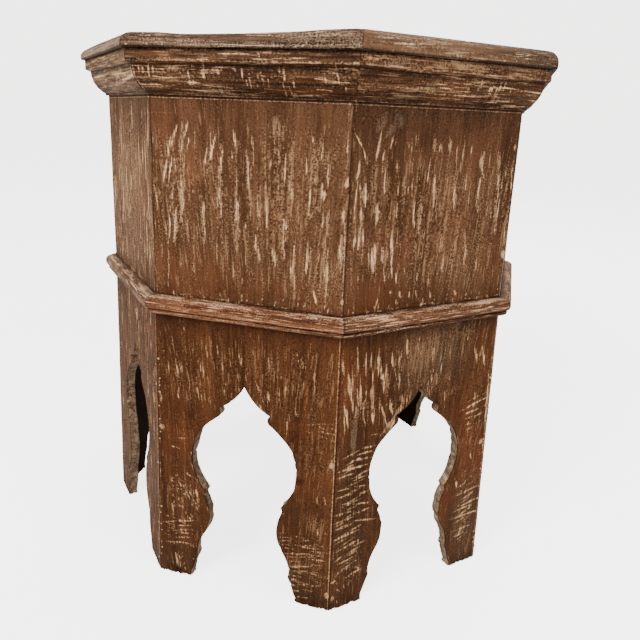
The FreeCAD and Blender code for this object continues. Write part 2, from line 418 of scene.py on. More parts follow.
def drift(across, along, seed):
    """Smooth random values between 0 and 1 over a plane, with one bump or hollow to each unit of length."""
    low_a = np.floor(across).astype(np.int64)
    low_b = np.floor(along).astype(np.int64)
    share_a = across - low_a
    share_b = along - low_b
    share_a = share_a * share_a * (3 - 2 * share_a)
    share_b = share_b * share_b * (3 - 2 * share_b)

    def corner(step_a, step_b):
        mixed = (low_a + step_a) * 374761393 + (low_b + step_b) * 668265263 + seed * 1274126177
        mixed = (mixed ^ (mixed >> 13)) * 1103515245 & 0x7FFFFFFF
        return ((mixed ^ (mixed >> 15)) & 0xFFFF) / 0xFFFF

    low = corner(0, 0) * (1 - share_a) + corner(1, 0) * share_a
    high = corner(0, 1) * (1 - share_a) + corner(1, 1) * share_a
    return low * (1 - share_b) + high * share_b


def within(value, low, high):
    """0 below low, 1 above high, and a straight rise between them."""
    return np.clip((value - low) / (high - low), 0, 1)


def near(value, reach, soft):
    """0 where the value is past the reach, and 1 where it is below that by the soft width or more."""
    return np.clip((reach - value) / soft, 0, 1)


def strongest(*fields):
    """The strongest of some fields at each point."""
    return np.maximum.reduce(fields)


def stroke_field(across, along, strokes):
    """Depth inside scraped strokes: a half at a stroke's edge, more inside, less outside."""
    softness = 1.5
    overrun = 0.12
    field = np.zeros(len(across))
    ragged = 0.6 + 0.8 * drift(across / 1.8, along / 4.5, 61)
    sideways = 1.1 * (drift(along / 10, across / 40, 62) - 0.5)
    upwards = 1.1 * (drift(across / 9, along / 40, 63) - 0.5)
    across = across + sideways
    along = along + upwards
    for start_a, start_b, end_a, end_b, width in strokes:
        run_a = end_a - start_a
        run_b = end_b - start_b
        pad = width + softness + overrun * max(abs(run_a), abs(run_b))
        close = (across > min(start_a, end_a) - pad) & (across < max(start_a, end_a) + pad)
        close &= (along > min(start_b, end_b) - pad) & (along < max(start_b, end_b) + pad)
        close = np.nonzero(close)[0]
        length = max(run_a * run_a + run_b * run_b, 0.01)
        share = ((across[close] - start_a) * run_a + (along[close] - start_b) * run_b) / length
        share = np.clip(share, -overrun, 1 + overrun)
        away = np.hypot(across[close] - start_a - share * run_a, along[close] - start_b - share * run_b)
        half = width * (0.06 + 0.38 * (1 - (1.6 * share - 0.8) ** 2)) * ragged[close]
        paler = 0.12 * ((start_a * 7.3 + start_b * 3.1) % 1.0)
        strength = min(max(1.32 - 0.11 * width, 0.72), 1.0) - paler
        field[close] = np.maximum(field[close], strength * np.clip(0.5 + (half - away) / softness, 0, 1))
    return field


def smeared(strokes):
    """The same strokes longer and wider, for the lime dragged on round them."""
    made = []
    for start_a, start_b, end_a, end_b, width in strokes:
        more_a = 0.35 * (end_a - start_a)
        more_b = 0.35 * (end_b - start_b)
        made.append((start_a - more_a, start_b - more_b, end_a + more_a, end_b + more_b, 2.6 * width))
    return made


def seam_wear(across, up, edge, seed):
    """Pale frayed lines beside the mitred corners, strongest on the right, and the dark of the joints,
    widened on the left edges by painted shade.
    """
    right = across > 0
    upper = up > joint_height
    frayed = drift(up / 6 + 9 * seed, across / 40, 13)
    rubbed = within(up, 380, 425) * right
    line = np.abs(edge - np.where(right, 1.4 + 2.2 * rubbed, 2.2))
    width = 1.2 + 1.8 * rubbed
    steady = np.where(upper, 0.5, 0.8)
    pale = near(line, width, width) * (1 - 0.35 * rubbed)
    pale *= np.where(right, steady + (1 - steady) * frayed, 0.95 * frayed)
    # The dark of the joints, wider on the left edges, where it is painted shade beside the corner
    dark_width = np.where(right, 0.6, np.where(upper, 1.0, 0.8))
    dark = near(edge, 1.4 * dark_width, dark_width) * np.where(right, 0.9, 0.7)
    return pale, dark


def patch_field(across, along, patches):
    """Soft round patches, each given by its middle, its two half sizes and its strength."""
    field = np.zeros(len(across))
    for middle_a, middle_b, size_a, size_b, strength in patches:
        away = np.hypot((across - middle_a) / size_a, (along - middle_b) / size_b)
        field = np.maximum(field, strength * np.clip(1.4 - away, 0, 1))
    return field


def to_corner(across, out):
    """Distance from the mitred corner, measured across the side."""
    return out * side_slope - mitre_gap - np.abs(across)


def corner_sink(edge, ragged):
    """How far a mitred corner is worn in."""
    return near(edge, 2.4, 2.4) ** 2 * (0.2 + 0.8 * ragged)


# Scrapes seen on the three near faces: start and end, across and up the face, and width, in millimetres
upper_scrapes = {
    1: [
        (-68, 481, -74, 463, 3.8), (-74, 472, -78, 452, 2.2), (-79, 450, -83, 432, 3.4),
        (-74, 453, -78, 428, 2.6), (-57, 484, -61, 471, 3.0), (-61, 471, -65, 454, 1.7),
        (-56, 472, -58, 459, 1.9), (-73, 428, -75, 409, 1.7), (-70, 409, -74, 376, 3.8),
        (-76, 415, -80, 361, 1.8), (-80, 394, -79, 360, 1.5), (-63, 419, -65, 387, 1.4),
        (-38, 464, -41, 445, 2.2), (-41, 445, -40, 425, 1.7), (-30, 475, -35, 453, 2.9),
        (-22, 466, -27, 436, 1.9), (-27, 436, -25, 406, 2.5), (-42, 415, -43, 402, 2.3),
        (-41, 396, -42, 375, 1.7), (-12, 479, -10, 463, 2.9), (-14, 461, -14, 453, 1.3),
        (0, 452, 2, 433, 2.7),
        (-4, 467, 2, 450, 1.1), (5, 475, 6, 460, 1.1), (27, 471, 26, 462, 1.8), (23, 458, 22, 447, 1.6),
        (26, 443, 25, 435, 1.3), (31, 437, 32, 423, 1.3), (43, 435, 44, 421, 1.3),
        (55, 460, 56, 446, 2.3),
        (60, 436, 60, 419, 2.0), (75, 452, 76, 438, 2.0), (71, 433, 72, 426, 2.5),
        (36, 391, 38, 366, 2.4),
        (47, 383, 47, 374, 1.9), (46, 371, 49, 340, 3.0), (60, 386, 59, 360, 3.4),
        (79, 371, 78, 336, 3.9),
        (66, 344, 70, 332, 3.3), (0, 400, -1, 393, 1.9), (0, 373, 0, 362, 1.7), (12, 379, 14, 366, 4.2),
        (5, 363, 6, 350, 1.4), (27, 372, 29, 363, 3.0), (91, 482, 92, 455, 1.7), (93, 445, 93, 439, 2.4),
        (95, 437, 97, 341, 0.7), (91, 419, 90, 406, 2.5), (89, 385, 91, 370, 2.3),
        (-94, 491, -70, 492, 0.7), (-3, 492, -1, 489, 1.0), (28, 482, 29, 477, 2.3),
        (60, 477, 61, 472, 2.5),
        (-9, 437, -10, 392, 2.2), (36, 405, 40, 395, 2.1), (68, 466, 69, 459, 1.5),
        (-91, 424, -90, 405, 2.1),
        (-95, 432, -95, 414, 2.1),
    ],
    2: [
        (-92, 481, -83, 469, 2.8), (-83, 469, -78, 456, 2.2), (-84, 462, -88, 444, 3.6),
        (-87, 443, -89, 415, 2.0), (-89, 415, -89, 407, 2.3), (-79, 440, -78, 422, 4.8),
        (-82, 419, -82, 408, 3.5), (-66, 422, -66, 405, 4.1), (-87, 401, -88, 380, 2.3),
        (-81, 405, -84, 383, 3.2), (-78, 405, -79, 389, 2.3), (-66, 483, -70, 457, 2.6),
        (-61, 470, -63, 458, 2.0), (-63, 458, -63, 444, 1.5), (-53, 481, -56, 469, 2.3),
        (-50, 479, -51, 472, 1.2), (-59, 452, -59, 432, 2.9), (-37, 478, -37, 470, 2.1),
        (-29, 481, -31, 463, 2.4), (-30, 463, -31, 446, 3.1), (-29, 445, -29, 428, 2.5),
        (-26, 427, -25, 403, 3.8), (-34, 438, -33, 431, 2.2), (-44, 443, -45, 431, 1.5),
        (-47, 462, -47, 448, 1.2), (-67, 387, -65, 374, 3.6), (-69, 381, -66, 361, 4.5),
        (-73, 385, -70, 357, 1.8), (-57, 383, -57, 369, 4.0), (-55, 368, -53, 350, 2.8),
        (-48, 391, -45, 376, 2.2), (-48, 376, -45, 356, 1.9), (-41, 359, -39, 347, 3.5),
        (-33, 368, -31, 356, 1.9), (-28, 357, -27, 349, 1.6), (-16, 357, -15, 349, 4.0),
        (-82, 360, -82, 354, 1.5), (0, 476, -1, 468, 3.5), (11, 477, 11, 468, 3.6),
        (27, 476, 24, 450, 2.7),
        (-4, 448, -3, 419, 3.6), (36, 472, 36, 466, 2.4), (52, 468, 49, 456, 4.6),
        (50, 456, 54, 445, 2.8),
        (51, 443, 49, 417, 3.6), (70, 467, 72, 453, 4.7), (73, 448, 76, 422, 3.7),
        (78, 421, 78, 398, 2.6),
        (76, 398, 77, 389, 1.9), (91, 475, 91, 470, 3.7), (91, 371, 93, 363, 6.6),
        (20, 443, 21, 422, 2.4),
        (33, 448, 35, 426, 2.1), (-59, 336, -62, 326, 2.6), (-45, 342, -45, 338, 2.6),
        (-35, 340, -33, 333, 3.8), (-24, 340, -23, 333, 2.3), (-16, 340, -14, 331, 2.9),
        (1, 338, 2, 329, 3.5),
        (32, 335, 35, 329, 3.1), (-12, 448, -13, 437, 1.9), (0, 435, 0, 428, 1.7),
        (90, 399, 92, 375, 2.3),
        (90, 456, 92, 431, 1.9),
    ],
}
arch_scrapes = {
    1: [
        (-78, 281, -78, 267, 2.2), (-74, 256, -70, 227, 2.7), (-72, 227, -72, 208, 3.1),
        (-69, 254, -68, 240, 3.5), (-55, 281, -55, 263, 2.1), (-49, 263, -47, 245, 2.2),
        (-52, 230, -49, 216, 2.7), (-45, 252, -43, 236, 2.2), (-41, 277, -39, 261, 2.1),
        (-36, 289, -35, 272, 1.7), (-30, 280, -27, 265, 1.9), (-24, 263, -23, 249, 2.1),
        (-16, 266, -14, 257, 2.1), (-8, 252, -6, 244, 3.4), (-4, 272, -3, 260, 2.5),
        (8, 280, 9, 272, 4.9),
        (11, 247, 17, 233, 2.5), (15, 223, 19, 217, 2.6), (24, 276, 26, 257, 2.4),
        (27, 275, 30, 258, 2.0),
        (34, 262, 40, 251, 2.5), (42, 281, 43, 271, 2.0), (44, 252, 43, 236, 2.7),
        (52, 229, 55, 216, 2.4),
        (58, 276, 60, 264, 2.7), (68, 285, 70, 274, 1.5), (71, 270, 72, 243, 3.0),
        (46, 214, 45, 189, 2.4),
        (-65, 291, -64, 287, 2.6), (-82, 256, -82, 240, 1.8), (-61, 243, -59, 225, 2.2),
        (-38, 222, -35, 210, 3.1), (-20, 241, -21, 227, 2.9), (-13, 232, -14, 222, 2.5),
        (0, 255, 2, 245, 2.1),
        (25, 237, 27, 227, 2.5), (36, 239, 38, 225, 2.0), (64, 209, 93, 215, 1.2),
        (71, 204, 94, 204, 1.5),
        (75, 200, 94, 198, 1.3), (93, 176, 94, 165, 6.0), (-93, 217, -93, 206, 3.7),
        (-95, 182, -90, 174, 6.5),
        (-77, 168, -60, 171, 2.2), (-83, 157, -72, 157, 1.9), (-65, 129, -60, 126, 4.1),
        (-66, 108, -61, 98, 3.0), (-54, 112, -50, 100, 2.8), (-83, 90, -81, 78, 3.0),
        (-95, 62, -55, 73, 2.9),
        (-80, 60, -58, 66, 2.0), (-82, 54, -58, 61, 2.4), (-80, 51, -60, 56, 2.0),
        (-82, 45, -60, 51, 2.5),
        (-92, 38, -59, 43, 2.6), (-79, 25, -76, 10, 3.7), (41, 81, 49, 83, 1.8), (41, 76, 54, 78, 1.9),
        (42, 72, 56, 75, 1.9), (45, 68, 57, 70, 1.6), (46, 64, 58, 66, 1.9), (48, 58, 73, 64, 2.4),
        (77, 68, 93, 70, 2.8), (49, 54, 75, 61, 1.9), (76, 58, 92, 60, 2.8), (51, 49, 69, 54, 1.7),
        (52, 44, 78, 50, 2.4), (74, 51, 91, 54, 1.9), (53, 38, 76, 44, 2.4), (56, 29, 75, 27, 4.6),
        (55, 21, 64, 22, 2.5), (77, 25, 90, 29, 1.9), (58, 14, 68, 17, 2.4), (61, 8, 76, 10, 2.0),
        (80, 134, 82, 121, 2.9), (87, 135, 90, 125, 2.9), (82, 97, 83, 88, 3.4), (100, 20, 102, 12, 4.5),
        (97, 36, 102, 41, 2.1), (97, 282, 99, 269, 3.0),
    ],
    2: [
        (-94, 280, -92, 264, 3.3), (-87, 265, -84, 243, 4.1), (-91, 236, -87, 220, 2.5),
        (-87, 228, -85, 207, 3.0), (-78, 280, -76, 263, 3.4),
        (-84, 257, -80, 226, 3.8), (-68, 283, -68, 267, 3.0), (-62, 283, -62, 268, 2.6),
        (-54, 283, -53, 259, 3.6), (-48, 260, -45, 236, 2.7), (-44, 269, -41, 237, 4.9),
        (-38, 280, -36, 264, 3.1), (-29, 259, -27, 236, 2.3), (-60, 247, -58, 222, 5.3),
        (-58, 222, -56, 209, 3.1), (-47, 224, -39, 202, 3.0), (-38, 230, -33, 213, 4.0),
        (-29, 208, -35, 197, 3.4), (-21, 217, -21, 229, 5.0), (-57, 196, -49, 195, 2.2),
        (-66, 183, -51, 183, 2.8), (-72, 177, -54, 178, 2.8), (-76, 172, -56, 171, 2.7),
        (-93, 163, -60, 164, 3.2), (-94, 156, -77, 157, 2.8), (-75, 152, -59, 151, 1.9),
        (-94, 142, -79, 141, 2.3), (-74, 142, -61, 140, 2.1), (-95, 134, -76, 134, 3.3),
        (-67, 132, -58, 132, 2.9), (-87, 125, -78, 124, 2.9), (-76, 122, -55, 118, 2.3),
        (-95, 114, -75, 114, 3.4), (-70, 110, -54, 112, 2.3), (-96, 105, -75, 107, 3.5),
        (-95, 97, -81, 100, 3.1), (-75, 102, -44, 96, 3.3), (-95, 86, -69, 89, 4.1),
        (-92, 71, -64, 77, 4.3),
        (-95, 59, -84, 64, 2.8), (-91, 55, -70, 58, 2.7), (-98, 34, -92, 36, 3.4),
        (-97, 12, -94, 17, 5.2),
        (58, 199, 91, 208, 2.8), (63, 194, 81, 196, 3.2), (67, 208, 84, 213, 2.2),
        (66, 188, 85, 189, 2.1),
        (65, 181, 83, 179, 2.2), (68, 174, 76, 175, 2.2), (67, 94, 94, 98, 3.1), (58, 93, 80, 95, 2.4),
        (71, 77, 94, 81, 2.8), (61, 73, 89, 75, 3.0), (59, 64, 99, 64, 3.6), (60, 57, 79, 60, 2.5),
        (64, 47, 86, 47, 3.1), (67, 38, 81, 41, 2.6), (95, 154, 97, 144, 7.7), (68, 269, 73, 251, 4.2),
        (78, 269, 84, 247, 3.7), (93, 221, 95, 173, 4.1), (58, 118, 62, 104, 3.2),
        (77, 144, 79, 136, 3.3),
    ],
}
cornice_scrapes = {
    1: [
        (-32, 531, -33, 520, 4.3), (-47, 525, -47, 513, 2.3), (-54, 528, -54, 520, 1.7),
        (-43, 521, -44, 514, 1.7), (-20, 529, -19, 523, 2.3), (-5, 530, -3, 525, 2.2),
        (2, 529, 2, 522, 2.9),
        (-84, 532, -85, 520, 2.1), (-80, 531, -80, 523, 1.7), (-90, 529, -90, 523, 2.1),
        (-94, 529, -94, 524, 2.1), (-16, 529, -15, 525, 1.6), (73, 529, 74, 518, 1.2),
        (83, 531, 85, 519, 1.3),
        (77, 529, 86, 529, 1.0), (1, 523, 55, 523, 1.1), (62, 522, 95, 519, 1.2),
        (90, 516, 90, 512, 1.3),
        (5, 520, 5, 515, 1.3), (20, 540, 19, 536, 1.5), (-100, 529, -98.8, 519, 1.8),
        (-98.8, 519, -95.5, 511, 1.8),
    ],
    8: [
        (-88, 524, 0, 525.4, 3.0), (-10, 525, 75, 524, 3.0), (-18, 515.6, 54, 517, 3.0),
        (46, 517, 96, 520.4, 3.0),
        (100, 529, 97, 517, 2.6),
    ],
}

# Smooth grey smudges: start, end and width, as the scrapes are given
upper_smudges = {
    1: [(28, 490, 31, 478, 4)],
    2: [(-70, 484, -62, 497, 10), (-52, 500, -46, 488, 11), (-60, 480, -50, 492, 8)],
}
arch_smudges = {2: [(-77, 224, -78, 182, 8), (-30, 211, -37, 196, 8)]}
cornice_smudges = {2: [(-38, 512, -22, 527, 7), (-78, 535, -60, 538, 7), (-60, 512, -40, 511, 5)]}

# Broad soft rubs on the two near faces, given as the scrapes are
upper_rubs = {
    1: [
        (-63, 475, -65, 401, 9), (-10, 421, -9, 396, 7), (0, 461, 4, 435, 6), (-8, 397, -8, 369, 6),
        (12, 430, 13, 396, 5), (10, 382, 14, 364, 6), (39, 407, 37, 382, 6), (27, 379, 29, 362, 6),
        (46, 383, 48, 339, 5), (60, 424, 61, 407, 6), (61, 385, 63, 348, 7), (76, 386, 79, 334, 7),
        (90, 396, 91, 365, 7), (71, 438, 72, 425, 6), (75, 463, 76, 440, 5), (62, 446, 66, 439, 8),
        (-25, 462, -25, 407, 5), (-42, 414, -42, 375, 6), (4, 435, 4, 409, 4), (19, 436, 20, 400, 4),
        (43, 438, 45, 419, 4), (77, 421, 78, 395, 5), (-70, 401, -73, 377, 6), (28, 471, 31, 454, 5),
    ],
    2: [
        (-79, 439, -79, 424, 8), (-67, 422, -66, 402, 7), (-66, 386, -66, 356, 7),
        (-56, 381, -53, 367, 7),
        (-48, 394, -45, 357, 4), (-46, 423, -46, 408, 6), (-8, 478, -6, 466, 6), (9, 478, 12, 465, 5),
        (-20, 429, -16, 393, 8), (19, 445, 23, 421, 6), (49, 467, 51, 451, 7), (70, 468, 73, 451, 7),
        (49, 440, 51, 413, 7), (38, 390, 44, 344, 7), (-3, 351, 0, 341, 7), (9, 391, 14, 357, 8),
        (-38, 445, -38, 430, 6), (72, 427, 78, 393, 7),
    ],
}

# Rubbed grey patches on the near faces, and on the left side a pale grey that is dust and painted sheen:
# middle, half sizes and strength
upper_patches = {
    1: [(-20, 395, 40, 45, 0.35), (30, 420, 45, 60, 0.3), (28, 480, 12, 10, 0.6), (60, 350, 35, 25, 0.4)],
    2: [(15, 420, 30, 50, 0.5), (5, 370, 45, 35, 0.5)],
    # The whole left side paler and greyer: dust, and painted sheen of the light from the left
    8: [(0, 420, 80, 110, 0.68)],
}
knots = {1: [(60.5, 146, 5.5, 4.0, 0.75)]}
arch_dust = {2: [(10, 272, 42, 40, 0.16), (78, 60, 20, 60, 0.12)]}
arch_soot = {
    1: [(-70, 20, 30, 30, 0.45), (75, 20, 30, 40, 0.5), (-70, 90, 24, 50, 0.25), (72, 110, 26, 60, 0.2)],
    2: [(38, 288, 34, 16, 0.35), (15, 265, 60, 40, 0.3), (-78, 90, 28, 110, 0.5), (78, 60, 24, 60, 0.35)],
}
upper_fresh = {
    1: [(-55, 343, 50, 26, 0.6), (20, 336, 60, 18, 0.4), (-10, 478, 70, 26, 0.15)],
    2: [(-62, 332, 42, 22, 0.6), (0, 474, 80, 22, 0.2), (75, 350, 14, 40, 0.35)],
}
arch_fresh = {
    1: [(74, 150, 22, 60, 0.15), (-76, 150, 20, 60, 0.35), (40, 296, 60, 10, 0.3)],
    2: [(86, 270, 12, 40, 0.7), (82, 150, 16, 50, 0.15), (-60, 292, 40, 12, 0.4)],
}
# Pale chips at the corners, given as the patches are
upper_chips = {1: [(92, 440, 2.2, 4, 1.0), (94, 336, 2, 3, 1.0)], 2: [(92, 367, 3, 5, 1.0)]}
arch_chips = {
    1: [(93, 170, 3.2, 4.5, 1.0), (96, 19, 3.2, 4.5, 1.0), (-93, 178, 2.5, 4, 0.9)],
    2: [(91, 155, 3.2, 4.5, 1.0)],
}
arch_patches = {
    1: [(10, 262, 70, 25, 0.35), (-64, 100, 20, 26, 0.5), (80, 96, 11, 16, 0.6), (70, 50, 26, 40, 0.3),
        (78, 170, 22, 40, 0.4)],
    2: [(5, 275, 40, 22, 0.75), (20, 240, 22, 14, 0.7), (-76, 60, 20, 50, 0.3), (40, 290, 30, 12, 0.6),
        (80, 60, 16, 60, 0.3), (34, 226, 16, 14, 0.6), (82, 165, 18, 40, 0.45)],
    # The whole left side paler and greyer: dust, and painted sheen of the light from the left
    8: [(0, 160, 110, 170, 0.66)],
}


def scattered(chance, count, across, along, length, lean, width):
    """Strokes with middles, lengths, leans from upright in degrees, and widths drawn from these ranges."""
    strokes = []
    for _ in range(count):
        middle_a = chance.uniform(*across)
        middle_b = chance.uniform(*along)
        half = chance.uniform(*length) / 2
        turn = math.radians(chance.uniform(*lean))
        step_a = half * math.sin(turn)
        step_b = half * math.cos(turn)
        ends = (middle_a - step_a, middle_b - step_b, middle_a + step_a, middle_b + step_b)
        strokes.append((*ends, chance.uniform(*width)))
    return strokes


def combed(chance, count, across, along, length, lean, width):
    """The same kind of strokes, but one above the other at nearly even heights."""
    strokes = []
    spacing = (along[1] - along[0]) / count
    for step in range(count):
        middle = along[0] + (step + 0.5) * spacing
        heights = (middle - 0.35 * spacing, middle + 0.35 * spacing)
        strokes += scattered(chance, 1, across, heights, length, lean, width)
    return strokes


# Where chips and saw marks crowd on the legs of the two near faces: count, across, up, length, lean and width
leg_marks = {
    1: [
        (30, (50, 74), (14, 84), (7, 17), (82, 97), (1.2, 2.0)),
        (26, (76, 93), (28, 98), (5, 13), (84, 96), (1.2, 2.1)),
        (22, (-92, -58), (34, 74), (5, 16), (86, 98), (1.2, 1.9)),
        (64, (-84, -50), (74, 126), (2, 6), (-70, 60), (1.6, 3.3)),
        (9, (68, 93), (196, 216), (8, 20), (90, 104), (1.0, 1.7)),
        (12, (-80, -56), (8, 28), (3, 9), (-40, 40), (1.2, 2.4)),
    ],
    2: [
        (14, (-92, -62), (8, 44), (3, 9), (-50, 60), (1.4, 2.8)),
        (12, (62, 92), (30, 150), (4, 10), (40, 80), (1.0, 1.8)),
    ],
}
# Pale saw marks one above the other on the right face's legs, given in the same way
leg_combs = {
    2: [
        (26, (-88, -64), (36, 180), (12, 26), (68, 80), (2.2, 3.4)),
        (20, (68, 88), (34, 112), (10, 22), (60, 74), (1.8, 2.8)),
        (9, (64, 86), (170, 214), (10, 22), (62, 78), (1.3, 2.1)),
    ],
}


def upper_strokes(index):
    chance = np.random.default_rng(100 + index)
    if index == 8:
        return scattered(chance, 150, (-92, 92), (328, 500), (12, 60), (-3, 3), (1.2, 3.0))
    strokes = list(upper_scrapes.get(index, []))
    if strokes:
        strokes += scattered(chance, 40, (-92, 92), (323, 331), (1.5, 6), (-20, 20), (0.8, 2.0))
        strokes += scattered(chance, 24, (-92, 92), (322.3, 325), (2, 10), (80, 100), (0.7, 1.5))
        return strokes + scattered(chance, 45, (-88, 90), (335, 470), (8, 26), (-6, 5), (0.8, 1.5))
    for start in (-90, -45, 0, 45):
        lean = (-4 - start / 9, 4 - start / 9)
        strokes += scattered(chance, 16, (start, start + 45), (345, 478), (12, 38), lean, (1.4, 3.3))
    strokes += scattered(chance, 10, (-88, 88), (330, 340), (4, 9), (-10, 10), (1.8, 3.4))
    return strokes + scattered(chance, 40, (-90, 90), (335, 480), (8, 30), (-8, 8), (0.8, 1.6))


def sided(side, low, high):
    """A range on the left or the right of the middle."""
    return sorted((side * low, side * high))


def arch_strokes(index):
    chance = np.random.default_rng(200 + index)
    if index == 8:
        return scattered(chance, 170, (-94, 94), (10, 290), (12, 55), (-4, 4), (1.2, 3.2))
    strokes = list(arch_scrapes.get(index, []))
    if index == 2:
        strokes += scattered(chance, 26, (-92, -16), (208, 286), (12, 34), (-9, 4), (1.2, 2.4))
        strokes += [(-23, 221, -30, 210, 6), (-32, 208, -45, 193, 6)]
    if strokes:
        return strokes + scattered(chance, 50, (-88, 92), (212, 288), (8, 26), (-14, 4), (0.9, 1.7))
    strokes = scattered(chance, 60, (-92, 92), (208, 284), (9, 30), (-10, 8), (1.2, 3.4))
    for side in (-1, 1):
        lean = sided(side, 76, 92)
        strokes += scattered(chance, 20, sided(side, 62, 88), (18, 118), (10, 34), lean, (1.4, 3.0))
        strokes += scattered(chance, 6, sided(side, 66, 90), (172, 205), (10, 28), lean, (1.0, 2.0))
        strokes += scattered(chance, 2, sided(side, 86, 93), (60, 190), (7, 10), (-8, 8), (4.5, 6.5))
    return strokes


def leg_strokes(index):
    chance = np.random.default_rng(250 + index)
    strokes = [stroke for marks in leg_marks.get(index, []) for stroke in scattered(chance, *marks)]
    return strokes + [stroke for marks in leg_combs.get(index, []) for stroke in combed(chance, *marks)]


def cornice_strokes(index):
    chance = np.random.default_rng(300 + index)
    count = 90 if index == 8 else 46
    strokes = list(cornice_scrapes.get(index, []))
    strokes += scattered(chance, count, (-98, 98), (507, 542), (10, 60), (86, 94), (0.8, 1.8))
    start = chance.uniform(-80, 50)
    return strokes + scattered(chance, 16, (start, start + 55), (512, 529), (4, 12), (-8, 8), (1.0, 2.4))


def girth_strokes(index, girth, count, seed):
    """Strokes along a moulding, placed by the distance round its profile."""
    chance = np.random.default_rng(seed + index)
    strokes = scattered(chance, count, (-98, 98), (0, girth), (10, 70), (86, 94), (0.7, 2.0))
    return strokes + scattered(chance, count // 5, (-98, 98), (0, girth), (3, 10), (-20, 20), (0.9, 2.2))


# Building meshes

def arc_points(start, middle, end, step):
    """Points on the arc through three points, after the first one."""
    (x0, y0), (x1, y1), (x2, y2) = start, middle, end
    span = 2 * (x0 * (y1 - y2) + x1 * (y2 - y0) + x2 * (y0 - y1))
    first, second, third = x0 * x0 + y0 * y0, x1 * x1 + y1 * y1, x2 * x2 + y2 * y2
    centre_x = (first * (y1 - y2) + second * (y2 - y0) + third * (y0 - y1)) / span
    centre_y = (first * (x2 - x1) + second * (x0 - x2) + third * (x1 - x0)) / span
    radius = math.hypot(x0 - centre_x, y0 - centre_y)
    turns = [math.atan2(y - centre_y, x - centre_x) for x, y in (start, middle, end)]
    whole = 2 * math.pi
    to_middle = (turns[1] - turns[0]) % whole
    to_end = (turns[2] - turns[0]) % whole
    if to_middle > to_end:
        to_end -= whole
    count = max(2, math.ceil(abs(to_end) * radius / step))
    made = []
    for index in range(1, count + 1):
        turn = turns[0] + to_end * index / count
        made.append((centre_x + radius * math.cos(turn), centre_y + radius * math.sin(turn)))
    return made


def line_points(start, end, step):
    count = max(1, math.ceil(math.dist(start, end) / step))
    made = []
    for index in range(1, count + 1):
        share = index / count
        made.append((start[0] + (end[0] - start[0]) * share, start[1] + (end[1] - start[1]) * share))
    return made


def path_points(start, ends, step):
    """Points on the way from a start: along a line to one end, or on an arc through a middle to its end."""
    return line_points(start, *ends, step) if len(ends) == 1 else arc_points(start, *ends, step)


def traced(start, moves):
    """A closed profile from its moves: each is its points, and the step between points on the way."""
    points = [start]
    seen = [0.0]
    for *ends, step in moves:
        more = path_points(points[-1], ends, step)
        points += more
        seen += [1.0 if step < hidden_step else 0.0] * len(more)
    return np.array(points), np.array(seen)


def profile_marks(points, seen):
    """For each profile point: if it is seen, its distance round, and how sharp an edge or corner it is on."""
    ahead = np.roll(points, -1, axis=0) - points
    behind = np.roll(ahead, 1, axis=0)
    turn = np.arctan2(behind[:, 0] * ahead[:, 1] - behind[:, 1] * ahead[:, 0], (behind * ahead).sum(axis=1))
    if turn.sum() < 0:
        turn = -turn
    away = np.hypot(*(points[:, None] - points[None]).transpose(2, 0, 1))
    bend = (np.exp(-away * away / 2) * turn[None]).sum(axis=1)
    girth = np.concatenate([[0], np.cumsum(np.hypot(ahead[:, 0], ahead[:, 1]))[:-1]])
    return {"shown": seen, "girth": girth, "outer": within(bend, 0.3, 1.3), "inner": within(-bend, 0.25, 1.0)}


def set_marks(mesh, marks):
    for name, values in marks.items():
        old = mesh.attributes.get(name)
        if old:
            mesh.attributes.remove(old)
        values = np.asarray(values, np.float32)
        kind, field = ("FLOAT_VECTOR", "vector") if values.ndim == 2 else ("FLOAT", "value")
        mesh.attributes.new(name, kind, "POINT").data.foreach_set(field, values.ravel())


def get_marks(mesh, *names):
    found = []
    for name in names:
        found.append(np.zeros(len(mesh.vertices), np.float32))
        mesh.attributes[name].data.foreach_get("value", found[-1])
    return found


def set_wear(mesh, place, flow, **wear):
    """Gives a mesh its place in the wood, the flow of its grain, and all the wear, painted shade, painted
    sheen and painted highlight that the finishes read.
    """
    marks = {"place": place, "flow": flow}
    for name in ("streak", "haze", "worn", "grime", "smudge", "cut", "scrape", "soot", "fresh"):
        marks[name] = np.zeros(len(mesh.vertices))
    set_marks(mesh, {**marks, **wear})


def points_of(mesh):
    """The mesh's points in millimetres: across, outwards from the middle, and up."""
    places = np.zeros(len(mesh.vertices) * 3, np.float32)
    mesh.vertices.foreach_get("co", places)
    places = places.reshape(-1, 3).astype(float) / mm
    return places[:, 0], -places[:, 1], places[:, 2]


def move_points(mesh, across, out, up):
    places = np.stack([across, -out, up], axis=1) * mm
    mesh.vertices.foreach_set("co", places.astype(np.float32).ravel())


def swept_length(profile, seen, step, material):
    """Closed mesh of one mitred length on the front side."""
    count = len(profile)
    mesh = bpy.data.meshes.new("profile")
    spots = [(out * mm, -up * mm, 0.0) for out, up in profile]
    mesh.from_pydata(spots, [(i, (i + 1) % count) for i in range(count)], [])
    set_marks(mesh, profile_marks(profile, seen))
    sections = math.ceil(2 * profile[:, 0].max() * side_slope / step)
    return turned_out(grown(mesh, mitred_length, material, {
        "Sections": sections, "Corner slope": side_slope, "Joint gap": mitre_gap * mm, "End crowding": 0.5,
    }))


def turned_out(mesh):
    """The same mesh with its faces pointing outwards."""
    shell = bmesh.new()
    shell.from_mesh(mesh)
    bmesh.ops.recalc_face_normals(shell, faces=shell.faces)
    if shell.calc_volume(signed=True) < 0:
        bmesh.ops.reverse_faces(shell, faces=shell.faces)
    shell.to_mesh(mesh)
    shell.free()
    return mesh


